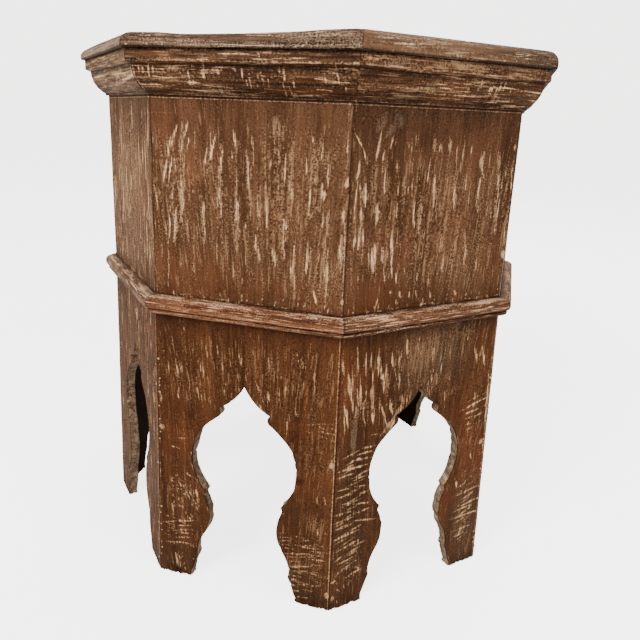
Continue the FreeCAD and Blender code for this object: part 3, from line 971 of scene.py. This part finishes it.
def closed_mesh(sheets):
    """Grids of points that meet along their edges made one shell, with its last opening filled flat."""
    spots = []
    faces = []
    for sheet in sheets:
        rows, columns, _ = sheet.shape
        index = np.arange(rows * columns).reshape(rows, columns) + sum(len(part) for part in spots)
        spots.append(sheet.reshape(-1, 3) * mm)
        quads = np.stack([index[:-1, :-1], index[:-1, 1:], index[1:, 1:], index[1:, :-1]], axis=-1)
        faces.append(quads.reshape(-1, 4))
    mesh = bpy.data.meshes.new("shell")
    mesh.from_pydata(np.concatenate(spots).tolist(), [], np.concatenate(faces).tolist())
    shell = bmesh.new()
    shell.from_mesh(mesh)
    bmesh.ops.remove_doubles(shell, verts=shell.verts, dist=0.002 * mm)
    bmesh.ops.dissolve_degenerate(shell, edges=shell.edges, dist=0.001 * mm)
    rim = [edge for edge in shell.edges if edge.is_boundary]
    bmesh.ops.holes_fill(shell, edges=rim, sides=0)
    shell.to_mesh(mesh)
    shell.free()
    return turned_out(mesh)


def finished(node, finish, mesh, material, relief, side, slot):
    """Weathers a marked mesh, turns it to its side of the table, hides its CAD node and puts the new piece in
    the root body.
    """
    name = f"{node}_{finish}"
    run, wave, grain, scrape = relief
    made = grown(mesh, weathering, material, {
        "Grain run": run, "Wave depth": wave * mm, "Grain depth": grain * mm, "Scrape depth": scrape * mm,
    })
    made.name = name
    made.transform(Matrix.Rotation((side - 1) * side_turn, 4, "Z"))
    made.polygons.foreach_set("use_smooth", [True] * len(made.polygons))
    made.set_sharp_from_angle(angle=math.radians(40))
    piece = placed(name, made)
    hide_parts(node)
    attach(piece, "root")


def side_place(across, out, up, index):
    """Place on a piece for its grain, shifted so that no two sides are alike."""
    shift = np.array([1.37, 2.11, 0.83]) * (index + 1)
    return np.stack([across, out, up], axis=1) * mm + shift


def leaning_place(across, out, up, index):
    """The same place with uprights fanned out a little, so that streaks lean away from the middle."""
    fan = np.sin(across / 60 + index * 2.3) * 0.07 - across / 1400
    return side_place(across + fan * (up - 400), out, up, index)


# Upper boards

def traced_upper(step):
    return traced((joint_apothem, joint_height), [
        ((case_top_apothem, case_height), step),
        ((case_top_apothem - board_thickness, case_height), hidden_step),
        ((joint_apothem - board_thickness, joint_height), hidden_step),
        ((joint_apothem - 0.1, joint_height), hidden_step),
    ])


# How drawn out the raised grain is along each axis, and the depths of slow waves, grain and scrapes
board_relief = ((300.0, 300.0, 8.0), 0.9, 0.16, 0.45)
upper_lengths = [swept_length(*traced_upper(step), step, upper_wood) for step in (seen_step, near_step)]

for index in range(1, side_count + 1):
    mesh = upper_lengths[index in near_sides].copy()
    across, out, up = points_of(mesh)
    under_cornice = cornice_foot - up
    over_bead = up - bead_top
    edge = to_corner(across, out)
    shown = get_marks(mesh, "shown")[0] * within(out - upper_wall(up), -1.0, -0.5)
    patchy = drift(across / 34 + 50 * index, up / 60, 11)
    zone = within(over_bead, 0, 30) * within(under_cornice, 11.5, 51.5)
    strokes = upper_strokes(index)
    rubs = stroke_field(across, up, upper_rubs.get(index, []))
    rubs *= 0.45 + 0.75 * drift(across / 1.2, up / 12, 64)
    pale, dark = seam_wear(across, up, edge, index)
    streak = shown * zone * (0.25 + 0.65 * patchy) * (0.6 + 0.4 * within(up, 340, 400))
    haze = strongest(
        shown * (patch_field(across, up, upper_patches.get(index, [])) + 0.30 * zone * patchy),
        stroke_field(across, up, smeared(strokes)) * zone * 0.6,
        np.minimum(rubs * 1.5, 1.0),
    )
    crumbly = within(drift(across / 38 + 4 * index, up / 90, 16), 0.2, 0.7)
    crumbly *= drift(across / 9 + 3 * index, up / 9, 12)
    worn = strongest(
        pale,
        0.8 * near(np.abs(under_cornice - 2.3), 1.2, 1.2),
        0.8 * near(over_bead, 6, 3) * crumbly,
        patch_field(across, up, upper_chips.get(index, [])),
    )
    # Grime and painted shade: painted shadow under the cornice, fading down the board and strongest on side
    # 2, painted shade in the crease over the bead, darker patches towards the bead, and the dark of the
    # joints
    grime = strongest(
        0.9 * near(under_cornice, 1.9, 1.4),
        0.9 * near(over_bead, 3, 3),
        (0.45 if index == 2 else 0.15) * near(under_cornice, 66.5, 66),
        0.35 * near(over_bead, 23, 25) * drift(across / 16 + 5 * index, up / 14, 15),
        dark,
    )
    sink = corner_sink(edge, drift(up / 12, across / 40 + index, 14)) * (shown > 0.5)
    move_points(mesh, across, out - sink, up)
    set_wear(
        mesh, side_place(across, out, up, index), leaning_place(across, out, up, index),
        shown=shown, streak=streak, haze=haze, worn=worn * shown, grime=grime * shown,
        smudge=0.45 * stroke_field(across, up, upper_smudges.get(index, [])),
        scrape=strongest(0.97 * stroke_field(across, up, strokes), 0.82 * rubs) * shown,
        fresh=patch_field(across, up, upper_fresh.get(index, [])),
    )
    finished(f"upper_board_{index}", "rubbed", mesh, upper_wood, board_relief, index, "upper_wood")


# Lower boards with their arches

# Steps down the right side of the arch, as shares of its half width and height
arch_step_shares = [
    ((0.190, 0.932), (0.463, 0.887)),
    ((0.418, 0.868), (0.445, 0.847)),
    ((0.600, 0.815), (0.745, 0.780)),
    ((0.945, 0.640), (0.700, 0.470)),
    ((0.735, 0.448),),
    ((0.628, 0.345), (0.755, 0.243)),
    ((0.842, 0.200),),
    ((0.868, 0.165), (0.862, 0.128)),
    ((0.925, 0.085), (0.962, 0.055)),
    ((0.995, 0.030), (1.000, 0.000)),
]


def arch_outline():
    """Half widths and heights down the right side of the arch, and the heights of its corners."""
    points = [(0.0, arch_height)]
    corners = []
    for step in arch_step_shares:
        ends = [(across * arch_half_width, up * arch_height) for across, up in step]
        points += path_points(points[-1], ends, 1.0)
        corners.append(points[-1][1])
    return np.array(points), corners


outline, outline_corners = arch_outline()


def arch_half(up):
    """Half width of the arch at a height, and nothing above its point."""
    return np.interp(up, outline[::-1, 1], outline[::-1, 0])


def arch_rows(step):
    heights = np.concatenate([np.arange(0, joint_height, step), [joint_height, arch_height], outline_corners])
    heights = np.unique(np.round(heights, 3))
    kept = [heights[0]]
    for height in heights[1:]:
        if height - kept[-1] > 0.35 or height in outline_corners or height == arch_height:
            kept.append(height)
    return np.array(kept)


def arch_point(side, up, share, depth, index):
    """A point of a lower board from its side, height, share of the way out to the corner, and depth in."""
    out = lower_wall(up) - depth
    below = within(arch_height - up, 0, 8)
    rough = drift(up / 9, depth / 5 + 3.1 * index * side, 21) - 0.5
    nick = np.clip(drift(up / 4.5, depth / 7 + 5.7 * index * side, 22) - 0.72, 0, 1) * 5
    wander = (drift(up / 24, np.full_like(up, 2.3 * index * side), 23) - 0.5) * 3.2 * depth / board_thickness
    inner = arch_half(up) + below * (rough * 1.1 + nick + wander)
    outer = out * side_slope - mitre_gap
    inner = np.where(up >= arch_height, 0.0, np.maximum(inner, 0.05))
    across = side * (inner + (outer - inner) * share)
    ragged = drift(across / 3.2 + 17 * index, depth / 3.0, 24)
    broad = drift(across / 14 + 5 * index, depth / 9.0, 25)
    splinters = drift(across / 1.5 + 31 * index, depth / 2.0, 26)
    lift = np.clip(ragged - 0.5, 0, 1) * 5.0 * (0.2 + 0.8 * broad) + np.clip(splinters - 0.55, 0, 1) * 3.5
    lifted = up + lift * near(up, 22, 22) ** 2
    return np.stack([across, -out, lifted], axis=-1)


def arch_board_mesh(index):
    rows = arch_rows(near_step if index in near_sides else seen_step)
    low_rows = rows[rows <= arch_height]
    columns = np.linspace(0, 1, 92 if index in near_sides else 57)
    columns -= 0.45 * np.sin(2 * math.pi * columns) / (2 * math.pi)
    layers = np.array([0, 1.0, 2.2, 4.4, 6.6, 8.8, 10.0, board_thickness])
    sheets = []
    for side in (-1, 1):
        up, share = np.meshgrid(rows, columns, indexing="ij")
        sheets.append(arch_point(side, up, share, np.zeros_like(up), index))
        up, depth = np.meshgrid(low_rows, layers, indexing="ij")
        sheets.append(arch_point(side, up, np.zeros_like(up), depth, index))
        up, depth = np.meshgrid(rows, layers, indexing="ij")
        sheets.append(arch_point(side, up, np.ones_like(up), depth, index))
        for height in (rows[0], rows[-1]):
            share, depth = np.meshgrid(columns, layers, indexing="ij")
            sheets.append(arch_point(side, np.full_like(share, height), share, depth, index))
    return closed_mesh(sheets)


for index in range(1, side_count + 1):
    mesh = arch_board_mesh(index)
    across, out, up = points_of(mesh)
    under_bead = bead_foot - up
    depth = lower_wall(up) - out
    front = near(depth, 0.8, 0.4)
    edge = to_corner(across, out)
    inset = np.where(up > arch_height, np.hypot(across, up - arch_height), np.abs(across) - arch_half(up))
    shown = np.where((edge > 0.3) & (depth < board_thickness - 0.3), 1.0, front)
    back = np.where(depth > board_thickness - 0.6, 1.0, 0.0)
    cut = np.where((depth > 0.8) & (depth < board_thickness - 0.6) & (edge > 1.0), 1.0, 0.0)
    patchy = drift(across / 30 + 40 * index, up / 50, 31)
    high = within(up, 196, 216) * within(under_bead, 7, 25)
    legs = near(up, 205, 20)
    strokes = arch_strokes(index)
    pale, dark = seam_wear(across, up, edge, index + 8)
    haze = front * strongest(
        patch_field(across, up, arch_patches.get(index, [])) + (0.30 * high + 0.25 * legs) * patchy,
        stroke_field(across, up, smeared(strokes)) * high * 0.6,
    )
    pared = within(inset, 0.6, 1.4) * near(inset, 2.8, 1.2)
    pared *= within(drift(up / 7, across / 20 + index, 33), 0.5, 0.9)
    chipped = near(up, 7, 6) * drift(across / 3 + 4 * index, up / 4, 37)
    worn = strongest(
        pale,
        0.8 * pared,
        0.75 * within(chipped, 0.5, 0.7),
        patch_field(across, up, arch_chips.get(index, [])),
    )
    back_edges = strongest(near(depth, 2.2, 1.2), within(depth, 8.8, 10.0))
    blotted = within(drift(up / 8, depth / 6 + 3 * index, 35), 0.5, 0.85)
    # Grime and painted shade: painted shadow under the bead, fading down the board, darker patches towards
    # the floor, the dark of the joints, a knot, darker edges and blots on the sawn faces, painted shade over
    # the sawn faces set side by side, and darker right at the arch's edge
    grime = strongest(
        0.95 * near(under_bead, 3.5, 3),
        0.4 * near(under_bead, 19, 20),
        0.85 * near(up, 20, 18) * drift(across / 5, up / 6 + index, 34),
        dark,
        patch_field(across, up, knots.get(index, [])),
        0.75 * cut * back_edges,
        (0.75 if index == 8 else 0.5) * cut * blotted,
        {1: 0.0, 2: 0.35, 8: 0.75}.get(index, 0.6) * cut,
        0.85 * near(inset, 1.2, 0.9),
    )
    faded = 0.78 if index == 1 else np.where(up < 200, 0.88, 1.0)
    scrape = front * strongest(
        stroke_field(across, up, strokes) * faded,
        stroke_field(across, up, leg_strokes(index)) * (0.74 if index == 1 else 0.76),
    )
    sooty = patch_field(across, up, arch_soot.get(index, [(0, 0, 130, 40, 0.35)]))
    sink = corner_sink(edge, drift(up / 12, across / 40 + index, 36)) * (front > 0.5)
    move_points(mesh, across, out - sink, up)
    set_wear(
        mesh, side_place(across, out, up, index), leaning_place(across, out, up, index),
        shown=shown, cut=cut, haze=haze, worn=worn * front, scrape=scrape,
        streak=front * (high * (0.35 + 0.5 * patchy) + legs * 0.22 * patchy),
        # Painted shade over the back of the board, inside the case
        grime=strongest(grime * strongest(front, cut), 0.8 * back),
        smudge=front * strongest(
            0.5 * stroke_field(across, up, arch_smudges.get(index, [])),
            patch_field(across, up, arch_dust.get(index, [])),
        ),
        # Soot in patches and towards the floor, and painted shade over the back of the board
        soot=strongest(sooty, 0.55 * near(up, 9, 9), 0.5 * back),
        fresh=patch_field(across, up, arch_fresh.get(index, [])),
    )
    finished(f"arch_board_{index}", "sawn", mesh, arch_wood, board_relief, index, "arch_wood")


# Cornice, bead and rim of the top

def cornice_profile():
    quirk_apothem = band_apothem - quirk_depth
    lip_apothem = upper_wall(ovolo_foot) + lip_reach
    return traced((upper_wall(cornice_foot), cornice_foot), [
        ((upper_wall(case_height), case_height), hidden_step),
        ((band_apothem - 0.8, case_height), hidden_step),
        ((band_apothem, case_height - 0.8), 0.8),
        ((band_apothem, band_foot), 1.2),
        ((quirk_apothem, band_foot - quirk_slope), 1.2),
        ((quirk_apothem, quirk_foot), 1.0),
        (ovolo_middle, (lip_apothem, ovolo_foot), 1.2),
        ((lip_apothem, cornice_foot), 1.0),
        ((upper_wall(cornice_foot) + 0.3, cornice_foot), 1.2),
    ])


# Steps down the bead, as shares of its reach and height
bead_step_shares = [
    ((0.430, 0.060),), ((0.880, 0.190), (1.000, 0.400)), ((0.975, 0.570), (0.820, 0.680)), ((0.620, 0.700),),
    ((0.620, 0.750),), ((0.740, 0.860), (0.600, 0.965)), ((0.480, 1.000),), ((0.020, 1.000),),
]


def bead_profile():
    moves = []
    for step in bead_step_shares:
        ends = [(joint_apothem + bead_reach * out, bead_top - bead_height * down) for out, down in step]
        moves.append((*ends, 0.9))
    moves.append(((joint_apothem, joint_height), hidden_step))
    return traced((upper_wall(bead_top), bead_top), moves)


def rim_profile():
    short = 1 - math.sqrt(0.5)
    nose_foot = case_height + nose_foot_radius * short
    shoulder = total_height - nose_radius * short
    return traced((field_apothem + plank_gap, case_height), [
        ((top_apothem - 12.0, case_height), hidden_step),
        ((top_apothem - nose_foot_radius, case_height), 1.5),
        ((top_apothem - nose_foot_radius * short, nose_foot),
         (top_apothem, case_height + nose_foot_radius), 0.8),
        ((top_apothem, total_height - nose_radius), 1.2),
        ((top_apothem - nose_radius * short, shoulder), (top_apothem - nose_radius, total_height), 1.2),
        ((field_apothem + 1.0, total_height), 2.0),
        ((field_apothem + plank_gap, total_height - 1.2), 0.8),
    ])


# How far the top's edge is worn down along its left and front sides: places along the side, then depths
rim_wear = {
    7: ((-105, 105), (0, 4.2)),
    8: ((-105, -58, 9, 65, 105), (4.2, 3.5, 3.3, 3.7, 3.5)),
    1: ((-105, -74, -52, -30, 12, 33, 53, 72, 92, 105), (3.5, 3.4, 4.7, 4.5, 3.8, 3.1, 2.3, 0.9, 0.2, 0)),
}


# Each moulding's own wear, painted shade, painted sheen and painted highlight, added to what all of them
# share

def wear_cornice(index, mesh, girth, wear):
    across, _, up = points_of(mesh)
    over_foot = up - band_foot
    over_quirk = up - quirk_foot
    fascia = within(over_foot, 0.5, 3.0)
    crumbly = within(drift(across / 2.6 + 6 * index, girth / 2, 49), 0.3, 0.7)
    # The band's lower arris worn pale, with a painted highlight along it
    lip = within(over_foot, -1.4, -0.4) * near(over_foot, 2.6, 1.4)
    lip *= (0.3 + 0.5 * drift(across / 7 + 6 * index, girth / 3, 48)) * (0.55 + 0.6 * crumbly)
    wear["worn"] = strongest(wear["worn"], lip)
    if index == 1:
        bare = near(np.abs(across - 22), 62, 30)
        wear["streak"] *= 1 - 0.55 * bare
        wear["haze"] *= 1 - 0.6 * bare
    kept = 1.2 if index == 2 else 0.5
    wear["streak"] *= 1 + (kept - 1) * fascia
    wear["haze"] *= 1 + (kept - 1) * fascia
    if index == 2:
        wear["haze"] += 0.35 * fascia
        wear["grime"] *= 1 - 0.6 * fascia
    # Painted shadow under the top's overhang, painted shade in the quirk under the band, and painted shade
    # along the cornice's foot
    wear["grime"] = strongest(
        wear["grime"],
        0.95 * near(case_height - up, 3.2, 2.2),
        0.8 * near(over_quirk, 0.6, 1.6) * within(over_quirk, -2.8, -0.8),
        0.7 * near(up - cornice_foot, 4.5, 3),
    )
    wear["scrape"] = strongest(
        stroke_field(across, up, cornice_strokes(index)),
        1.12 * stroke_field(across, up, cornice_scrapes.get(index, [])),
    )
    wear["smudge"] = 0.55 * stroke_field(across, up, cornice_smudges.get(index, []))
    # The left side is paler and greyer all over: dust, and painted sheen of the light from the left
    if index == 8:
        wear["haze"] += 0.5
        wear["smudge"] = np.maximum(wear["smudge"], 0.2)


def wear_bead(index, mesh, girth, wear):
    across, _, up = points_of(mesh)
    drop = bead_top - up
    ledge = near(drop, 3.2, 1.2) * (0.3 + 0.5 * drift(across / 14 + 4 * index, girth / 2, 44))
    wear["worn"] = strongest(wear["worn"], ledge) * np.where(drop > 13.6, 0.45, 1.0)
    # Painted shade in the crease where the bead meets the wall, and in the groove between its nose and lower
    # lip
    wear["grime"] = strongest(wear["grime"], 0.9 * near(drop, 1.4, 1.2), 0.45 * within(drop, 13.2, 14.2))
    wear["scrape"] = 0.8 * stroke_field(across, girth, girth_strokes(index, girth.max(), 16, 500))
    if index in (2, 8):
        wear["soot"] = np.full(len(up), 0.5)
    # The left side is paler and greyer: dust, and painted sheen of the light from the left
    if index == 8:
        wear["haze"] += 0.15
        wear["smudge"] = np.full(len(up), 0.2)


def wear_rim(index, mesh, girth, wear):
    across, out, up = points_of(mesh)
    over_foot = up - case_height
    nose = within(out, top_apothem - 26, top_apothem - 10)
    wear["scrape"] = stroke_field(across, girth, girth_strokes(index, girth.max(), 90, 600))
    if index == 1:
        chance = np.random.default_rng(700)
        short = scattered(chance, 90, (8, 98), (0, girth.max()), (2, 11), (60, 120), (0.9, 2.2))
        wear["scrape"] = strongest(wear["scrape"], stroke_field(across, girth, short))
        wear["haze"] += 0.35 * within(across, 0, 40) * nose
    flecked = within(over_foot, 1.4, 2.2) * near(over_foot, 4.4, 1.2)
    flecked *= within(drift(across / 2.4 + 8 * index, girth / 3, 47), 0.4, 0.8)
    wear["worn"] = strongest(wear["worn"], flecked * (0.55 if index == 2 else 0.8))
    # Painted shade along the bottom of the top's edge, over the band
    wear["grime"] = strongest(wear["grime"], 0.9 * near(over_foot, 2, 1.2))
    if index == 2:
        wear["fresh"] = 0.6 * near(across, 90, 120)
    # On the left side the nose is paler and greyer: dust, and painted sheen of the light from the left
    if index == 8:
        wear["haze"] += 0.1 + 0.7 * nose
        wear["smudge"] = 0.35 * nose


# Profile, own wear, material, slot, last word of the names, fineness of the grain, and shift in the wood
lengths = {
    "cornice": (cornice_profile(), wear_cornice, cornice_wood, "moulding_wood", "carved", 300.0, 20),
    "bead": (bead_profile(), wear_bead, bead_wood, "bead_wood", "worn", 320.0, 40),
    "top_rim": (rim_profile(), wear_rim, top_wood, "top_wood", "worn", 280.0, 60),
}
for kind, (profile, wear_kind, material, slot, finish, fineness, shift) in lengths.items():
    lengths_made = [swept_length(*profile, step, material) for step in (seen_step, near_step)]
    relief = ((8.0, fineness, fineness), 0.7, 0.18, 0.35)
    for index in range(1, side_count + 1):
        mesh = lengths_made[index in near_sides].copy()
        across, out, up = points_of(mesh)
        shown, girth, outer, inner = get_marks(mesh, "shown", "girth", "outer", "inner")
        edge = to_corner(across, out)
        calm = kind == "bead" or (kind, index) == ("top_rim", 2)
        patchy = drift(across / 40 + 30 * index, girth / 14, 41)
        rubbed = (0.5 if kind == "cornice" else 0.25) + 0.5 * drift(across / 16 + 9 * index, girth / 9, 42)
        ends = 0.8 * near(edge, 2.2, 2.2) * drift(across / 9, girth / 5 + index, 43)
        runs = within(drift(across / 45 + 7 * index, girth / 2.1, 46), 0.60, 0.84)
        wear = {
            "streak": 0.1 + 0.15 * patchy if kind == "bead" else 0.35 + 0.45 * patchy,
            "haze": (0.15 if calm else 0.5) * patchy,
            "worn": strongest(outer * rubbed, ends),
            # Painted shade in the hollow corners of the profile, the dark of the mitred joints, and dark runs
            # along the length
            "grime": strongest(inner * 0.9, 0.9 * near(edge, 1.3, 1.0), runs * (0.45 if calm else 0.85)),
        }
        wear_kind(index, mesh, girth, wear)
        wear["worn"] = wear["worn"] * shown
        wear["scrape"] = wear["scrape"] * shown
        sink = corner_sink(edge, drift(girth / 4, across / 30 + index, 45)) * shown
        level = (up > total_height - 0.5) & (kind == "top_rim")
        lowered = np.where(level, up - sink * 0.6, up)
        if kind == "top_rim" and index in rim_wear:
            reach = 1 - within(top_apothem - nose_radius - out, 0, 58)
            lowered -= np.interp(across, *rim_wear[index]) * reach * (lowered - case_height) / top_thickness
        move_points(mesh, across, np.where(level, out, out - sink * 0.8), lowered)
        place = side_place(across, out, up, index + shift)
        set_wear(mesh, place, place, **wear)
        finished(f"{kind}_{index}", finish, mesh, material, relief, index, slot)


# Planks of the top

def field_half_length(inward):
    """Half length of the plank field at a distance from the middle, across the planks."""
    return np.minimum(field_apothem, field_apothem * (1 + side_slope) - np.abs(inward))


def plank_mesh(index):
    low = -field_apothem + index * plank_width + (0 if index == 0 else plank_gap)
    high = -field_apothem + (index + 1) * plank_width - (0 if index == plank_count - 1 else plank_gap)
    bend = field_apothem * side_slope
    bends = [value for value in (-bend, bend) if low < value < high]
    rows = np.unique(np.concatenate([np.linspace(low, high, 38), bends]))
    columns = np.linspace(-1, 1, 141)
    layers = np.array([total_height - 0.8, total_height - 2.5, case_height])

    def spot(inward, share, up):
        return np.stack([share * field_half_length(inward), inward, up], axis=-1)

    inward, share = np.meshgrid(rows, columns, indexing="ij")
    to_end = (1 - np.abs(share)) * field_half_length(inward)
    easing = np.minimum(np.minimum(inward - low, high - inward), to_end)
    sheets = [spot(inward, share, total_height - 0.8 * near(easing, 2.0, 2.0) ** 2)]
    for end in (-1.0, 1.0):
        inward, up = np.meshgrid(rows, layers, indexing="ij")
        sheets.append(spot(inward, np.full_like(inward, end), up))
    for side in (rows[0], rows[-1]):
        share, up = np.meshgrid(columns, layers, indexing="ij")
        sheets.append(spot(np.full_like(share, side), share, up))
    return closed_mesh(sheets)


plank_relief = ((7.0, 260.0, 260.0), 0.8, 0.18, 0.35)

for index in range(plank_count):
    mesh = plank_mesh(index)
    across, out, up = points_of(mesh)
    inward = -out
    middle = -field_apothem + (index + 0.5) * plank_width
    breadth = (middle - 35, middle + 35)
    chance = np.random.default_rng(700 + index)
    strokes = scattered(chance, 60, (-170, 170), breadth, (12, 60), (82, 98), (1.0, 3.2))
    strokes += scattered(chance, 14, (-170, 170), breadth, (6, 22), (40, 140), (0.9, 2.0))
    shown = within(up, total_height - 1.6, total_height - 0.9)
    edge = np.minimum(plank_width / 2 - np.abs(inward - middle), field_half_length(inward) - np.abs(across))
    patchy = drift(across / 60 + 9 * index, inward / 18, 51)
    place = side_place(across, inward, up, index + 80)
    set_wear(
        mesh, place, place, shown=shown, streak=0.3 + 0.45 * patchy, haze=0.5 * patchy,
        worn=0.8 * near(edge, 2.2, 2.2) * drift(across / 22, inward / 9, 52) * shown,
        grime=0.85 * near(edge, 1.1, 1.1), scrape=stroke_field(across, inward, strokes) * shown,
    )
    finished(f"top_plank_{index + 1}", "worn", mesh, plank_wood, plank_relief, 1, "plank_wood")


# Filled pin holes down the pinned corners of the lower boards

def pin_row_tree():
    bench, given = new_tree("pin_rows", {
        "Spacing": "Float", "Wander": "Float", "Radius": "Float", "Kept": "Float", "Seed": "Int",
    })

    def drawn(kind, output, inputs):
        made = bench.node("FunctionNodeRandomValue", {**inputs, "Seed": given["Seed"]}, data_type=kind)
        return made.outputs[output]

    rows = bench.output("GeometryNodeMeshToCurve", {"Mesh": given["Geometry"]})
    spaced = {"Curve": rows, "Length": given["Spacing"]}
    points = bench.output("GeometryNodeResampleCurve", spaced, mode="LENGTH")
    apart = bench.scaled(drawn("FLOAT_VECTOR", 0, {0: (-1, -1, -1), 1: (1, 1, 1)}), given["Wander"])
    strewn = bench.output("GeometryNodeSetPosition", {"Geometry": points, "Offset": apart})
    shape = {"Segments": 8, "Rings": 5, "Radius": given["Radius"]}
    head = bench.output("GeometryNodeMeshUVSphere", shape)
    size = drawn("FLOAT", 1, {2: 0.5, 3: 1.35})
    scale = bench.output("ShaderNodeCombineXYZ", {0: size, 1: size, 2: bench.times(size, 0.4)})
    outward = {"Vector": bench.named("outward", "FLOAT_VECTOR")}
    facing = bench.output("FunctionNodeAlignRotationToVector", outward, axis="Z")
    pins = bench.node("GeometryNodeInstanceOnPoints", {
        "Points": strewn, "Instance": head, "Rotation": facing, "Scale": scale,
        "Selection": drawn("BOOLEAN", 3, {"Probability": given["Kept"]}),
    })
    return end_tree(bench, pins.outputs[0], given["Material"])


def pin_lines():
    """One line up the edge of each pinned board, with the way it faces."""
    spots = []
    outward = []
    for index in range(1, side_count + 1):
        turn = Matrix.Rotation((index - 1) * side_turn, 3, "Z")
        side = -1 if index % 2 else 1
        for up in (14.0, 262.0):
            out = lower_wall(up)
            spots.append(turn @ Vector((side * (out * side_slope - 2.7), -out, up)) * mm)
            outward.append(tuple(turn @ Vector((0.0, -1.0, 0.0))))
    mesh = bpy.data.meshes.new("pin_lines")
    mesh.from_pydata(spots, [(2 * i, 2 * i + 1) for i in range(side_count)], [])
    set_marks(mesh, {"outward": np.array(outward)})
    return mesh


def pin_filler_finish():
    material, bench, shader = new_finish("pin_filler")
    blot = bench.ramp(bench.noise(bench.own_place(), 900.0, 2.0), 0.35, 0.65)
    colour = bench.blend(blot, tint(142, 112, 84), tint(196, 168, 138))
    bench.feed(shader, {"Base Color": colour, "Roughness": 0.85})
    return material


pins = placed("corner_pins", grown(pin_lines(), pin_row_tree(), pin_filler_finish(), {
    "Spacing": 7.5 * mm, "Wander": 0.7 * mm, "Radius": 0.95 * mm, "Kept": 0.62, "Seed": 4,
}))
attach(pins, "root")


# Kept CAD pieces

for name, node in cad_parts.items():
    if name.startswith(("corner_block", "top_batten")):
        node.data.materials.clear()
        node.data.materials.append(inner_wood)
    elif name == "batten_screws":
        node.data.materials.clear()
        node.data.materials.append(screw_steel)


# Floor, light and camera

def pale_floor():
    mesh = bpy.data.meshes.new("floor")
    reach = 40.0
    level = -0.0003
    corners = [(x * reach, y * reach, level) for x, y in ((-1, -1), (1, -1), (1, 1), (-1, 1))]
    mesh.from_pydata(corners, [], [(0, 1, 2, 3)])
    material, bench, shader = new_finish("pale_floor")
    cloud = bench.noise(bench.own_place(), 0.8, 2.0)
    seen = bench.node("ShaderNodeLightPath", {}).outputs["Is Camera Ray"]
    bench.feed(shader, {
        "Base Color": bench.blend(cloud, tint(236, 235, 232), tint(242, 241, 239)), "Roughness": 0.9,
        "Emission Color": (1.0, 1.0, 1.0, 1.0), "Emission Strength": bench.times(seen, 3.4),
    })
    mesh.materials.append(material)
    placed("floor", mesh)


def soft_box(name, place, size, power):
    """A square lamp turned towards the middle of the table."""
    light = bpy.data.lights.new(name, "AREA")
    light.shape = "SQUARE"
    light.size = size
    light.energy = power
    box = placed(name, light)
    box.location = place
    box.rotation_mode = "QUATERNION"
    aim = Vector((0, 0, 0.3))
    box.rotation_quaternion = (Vector(place) - aim).to_track_quat("Z", "Y")


def pale_room():
    """The light from all round, brighter where the camera looks straight at it."""
    world = bpy.data.worlds.new("pale_room")
    world.use_nodes = True
    bench = Bench(world.node_tree)
    seen = bench.node("ShaderNodeLightPath", {}).outputs["Is Camera Ray"]
    bench.feed(world.node_tree.nodes["Background"], {
        "Color": (1.0, 0.99, 0.97, 1.0), "Strength": bench.ramp(seen, 0.0, 1.0, 0.7, 4.1),
    })
    bpy.context.scene.world = world


def photo_camera():
    """The camera of the photograph: where it stood, where it looked, and its small roll."""
    turn, rise, roll = (math.radians(value) for value in (285.8487, 18.0895, 2.3999))
    back = Vector((math.cos(turn) * math.cos(rise), math.sin(turn) * math.cos(rise), math.sin(rise)))
    level = Vector((0, 0, 1)).cross(back).normalized()
    upright_axis = back.cross(level)
    right = level * math.cos(roll) + upright_axis * math.sin(roll)
    up_axis = upright_axis * math.cos(roll) - level * math.sin(roll)
    data = bpy.data.cameras.new("photo_camera")
    data.sensor_width = 36.0
    data.lens = 35.074
    place = Matrix((right, up_axis, back)).transposed().to_4x4()
    place.translation = Vector((0.22229, -0.753008, 0.493809))
    camera = placed("photo_camera", data)
    camera.matrix_world = place
    bpy.context.scene.camera = camera


pale_floor()
soft_box("window_light", (-0.8, -2.4, 2.2), 1.5, 140.0)
soft_box("room_light", (2.4, -1.3, 1.7), 1.8, 55.0)
soft_box("back_light", (0.4, 2.4, 2.3), 2.0, 45.0)
pale_room()
photo_camera()
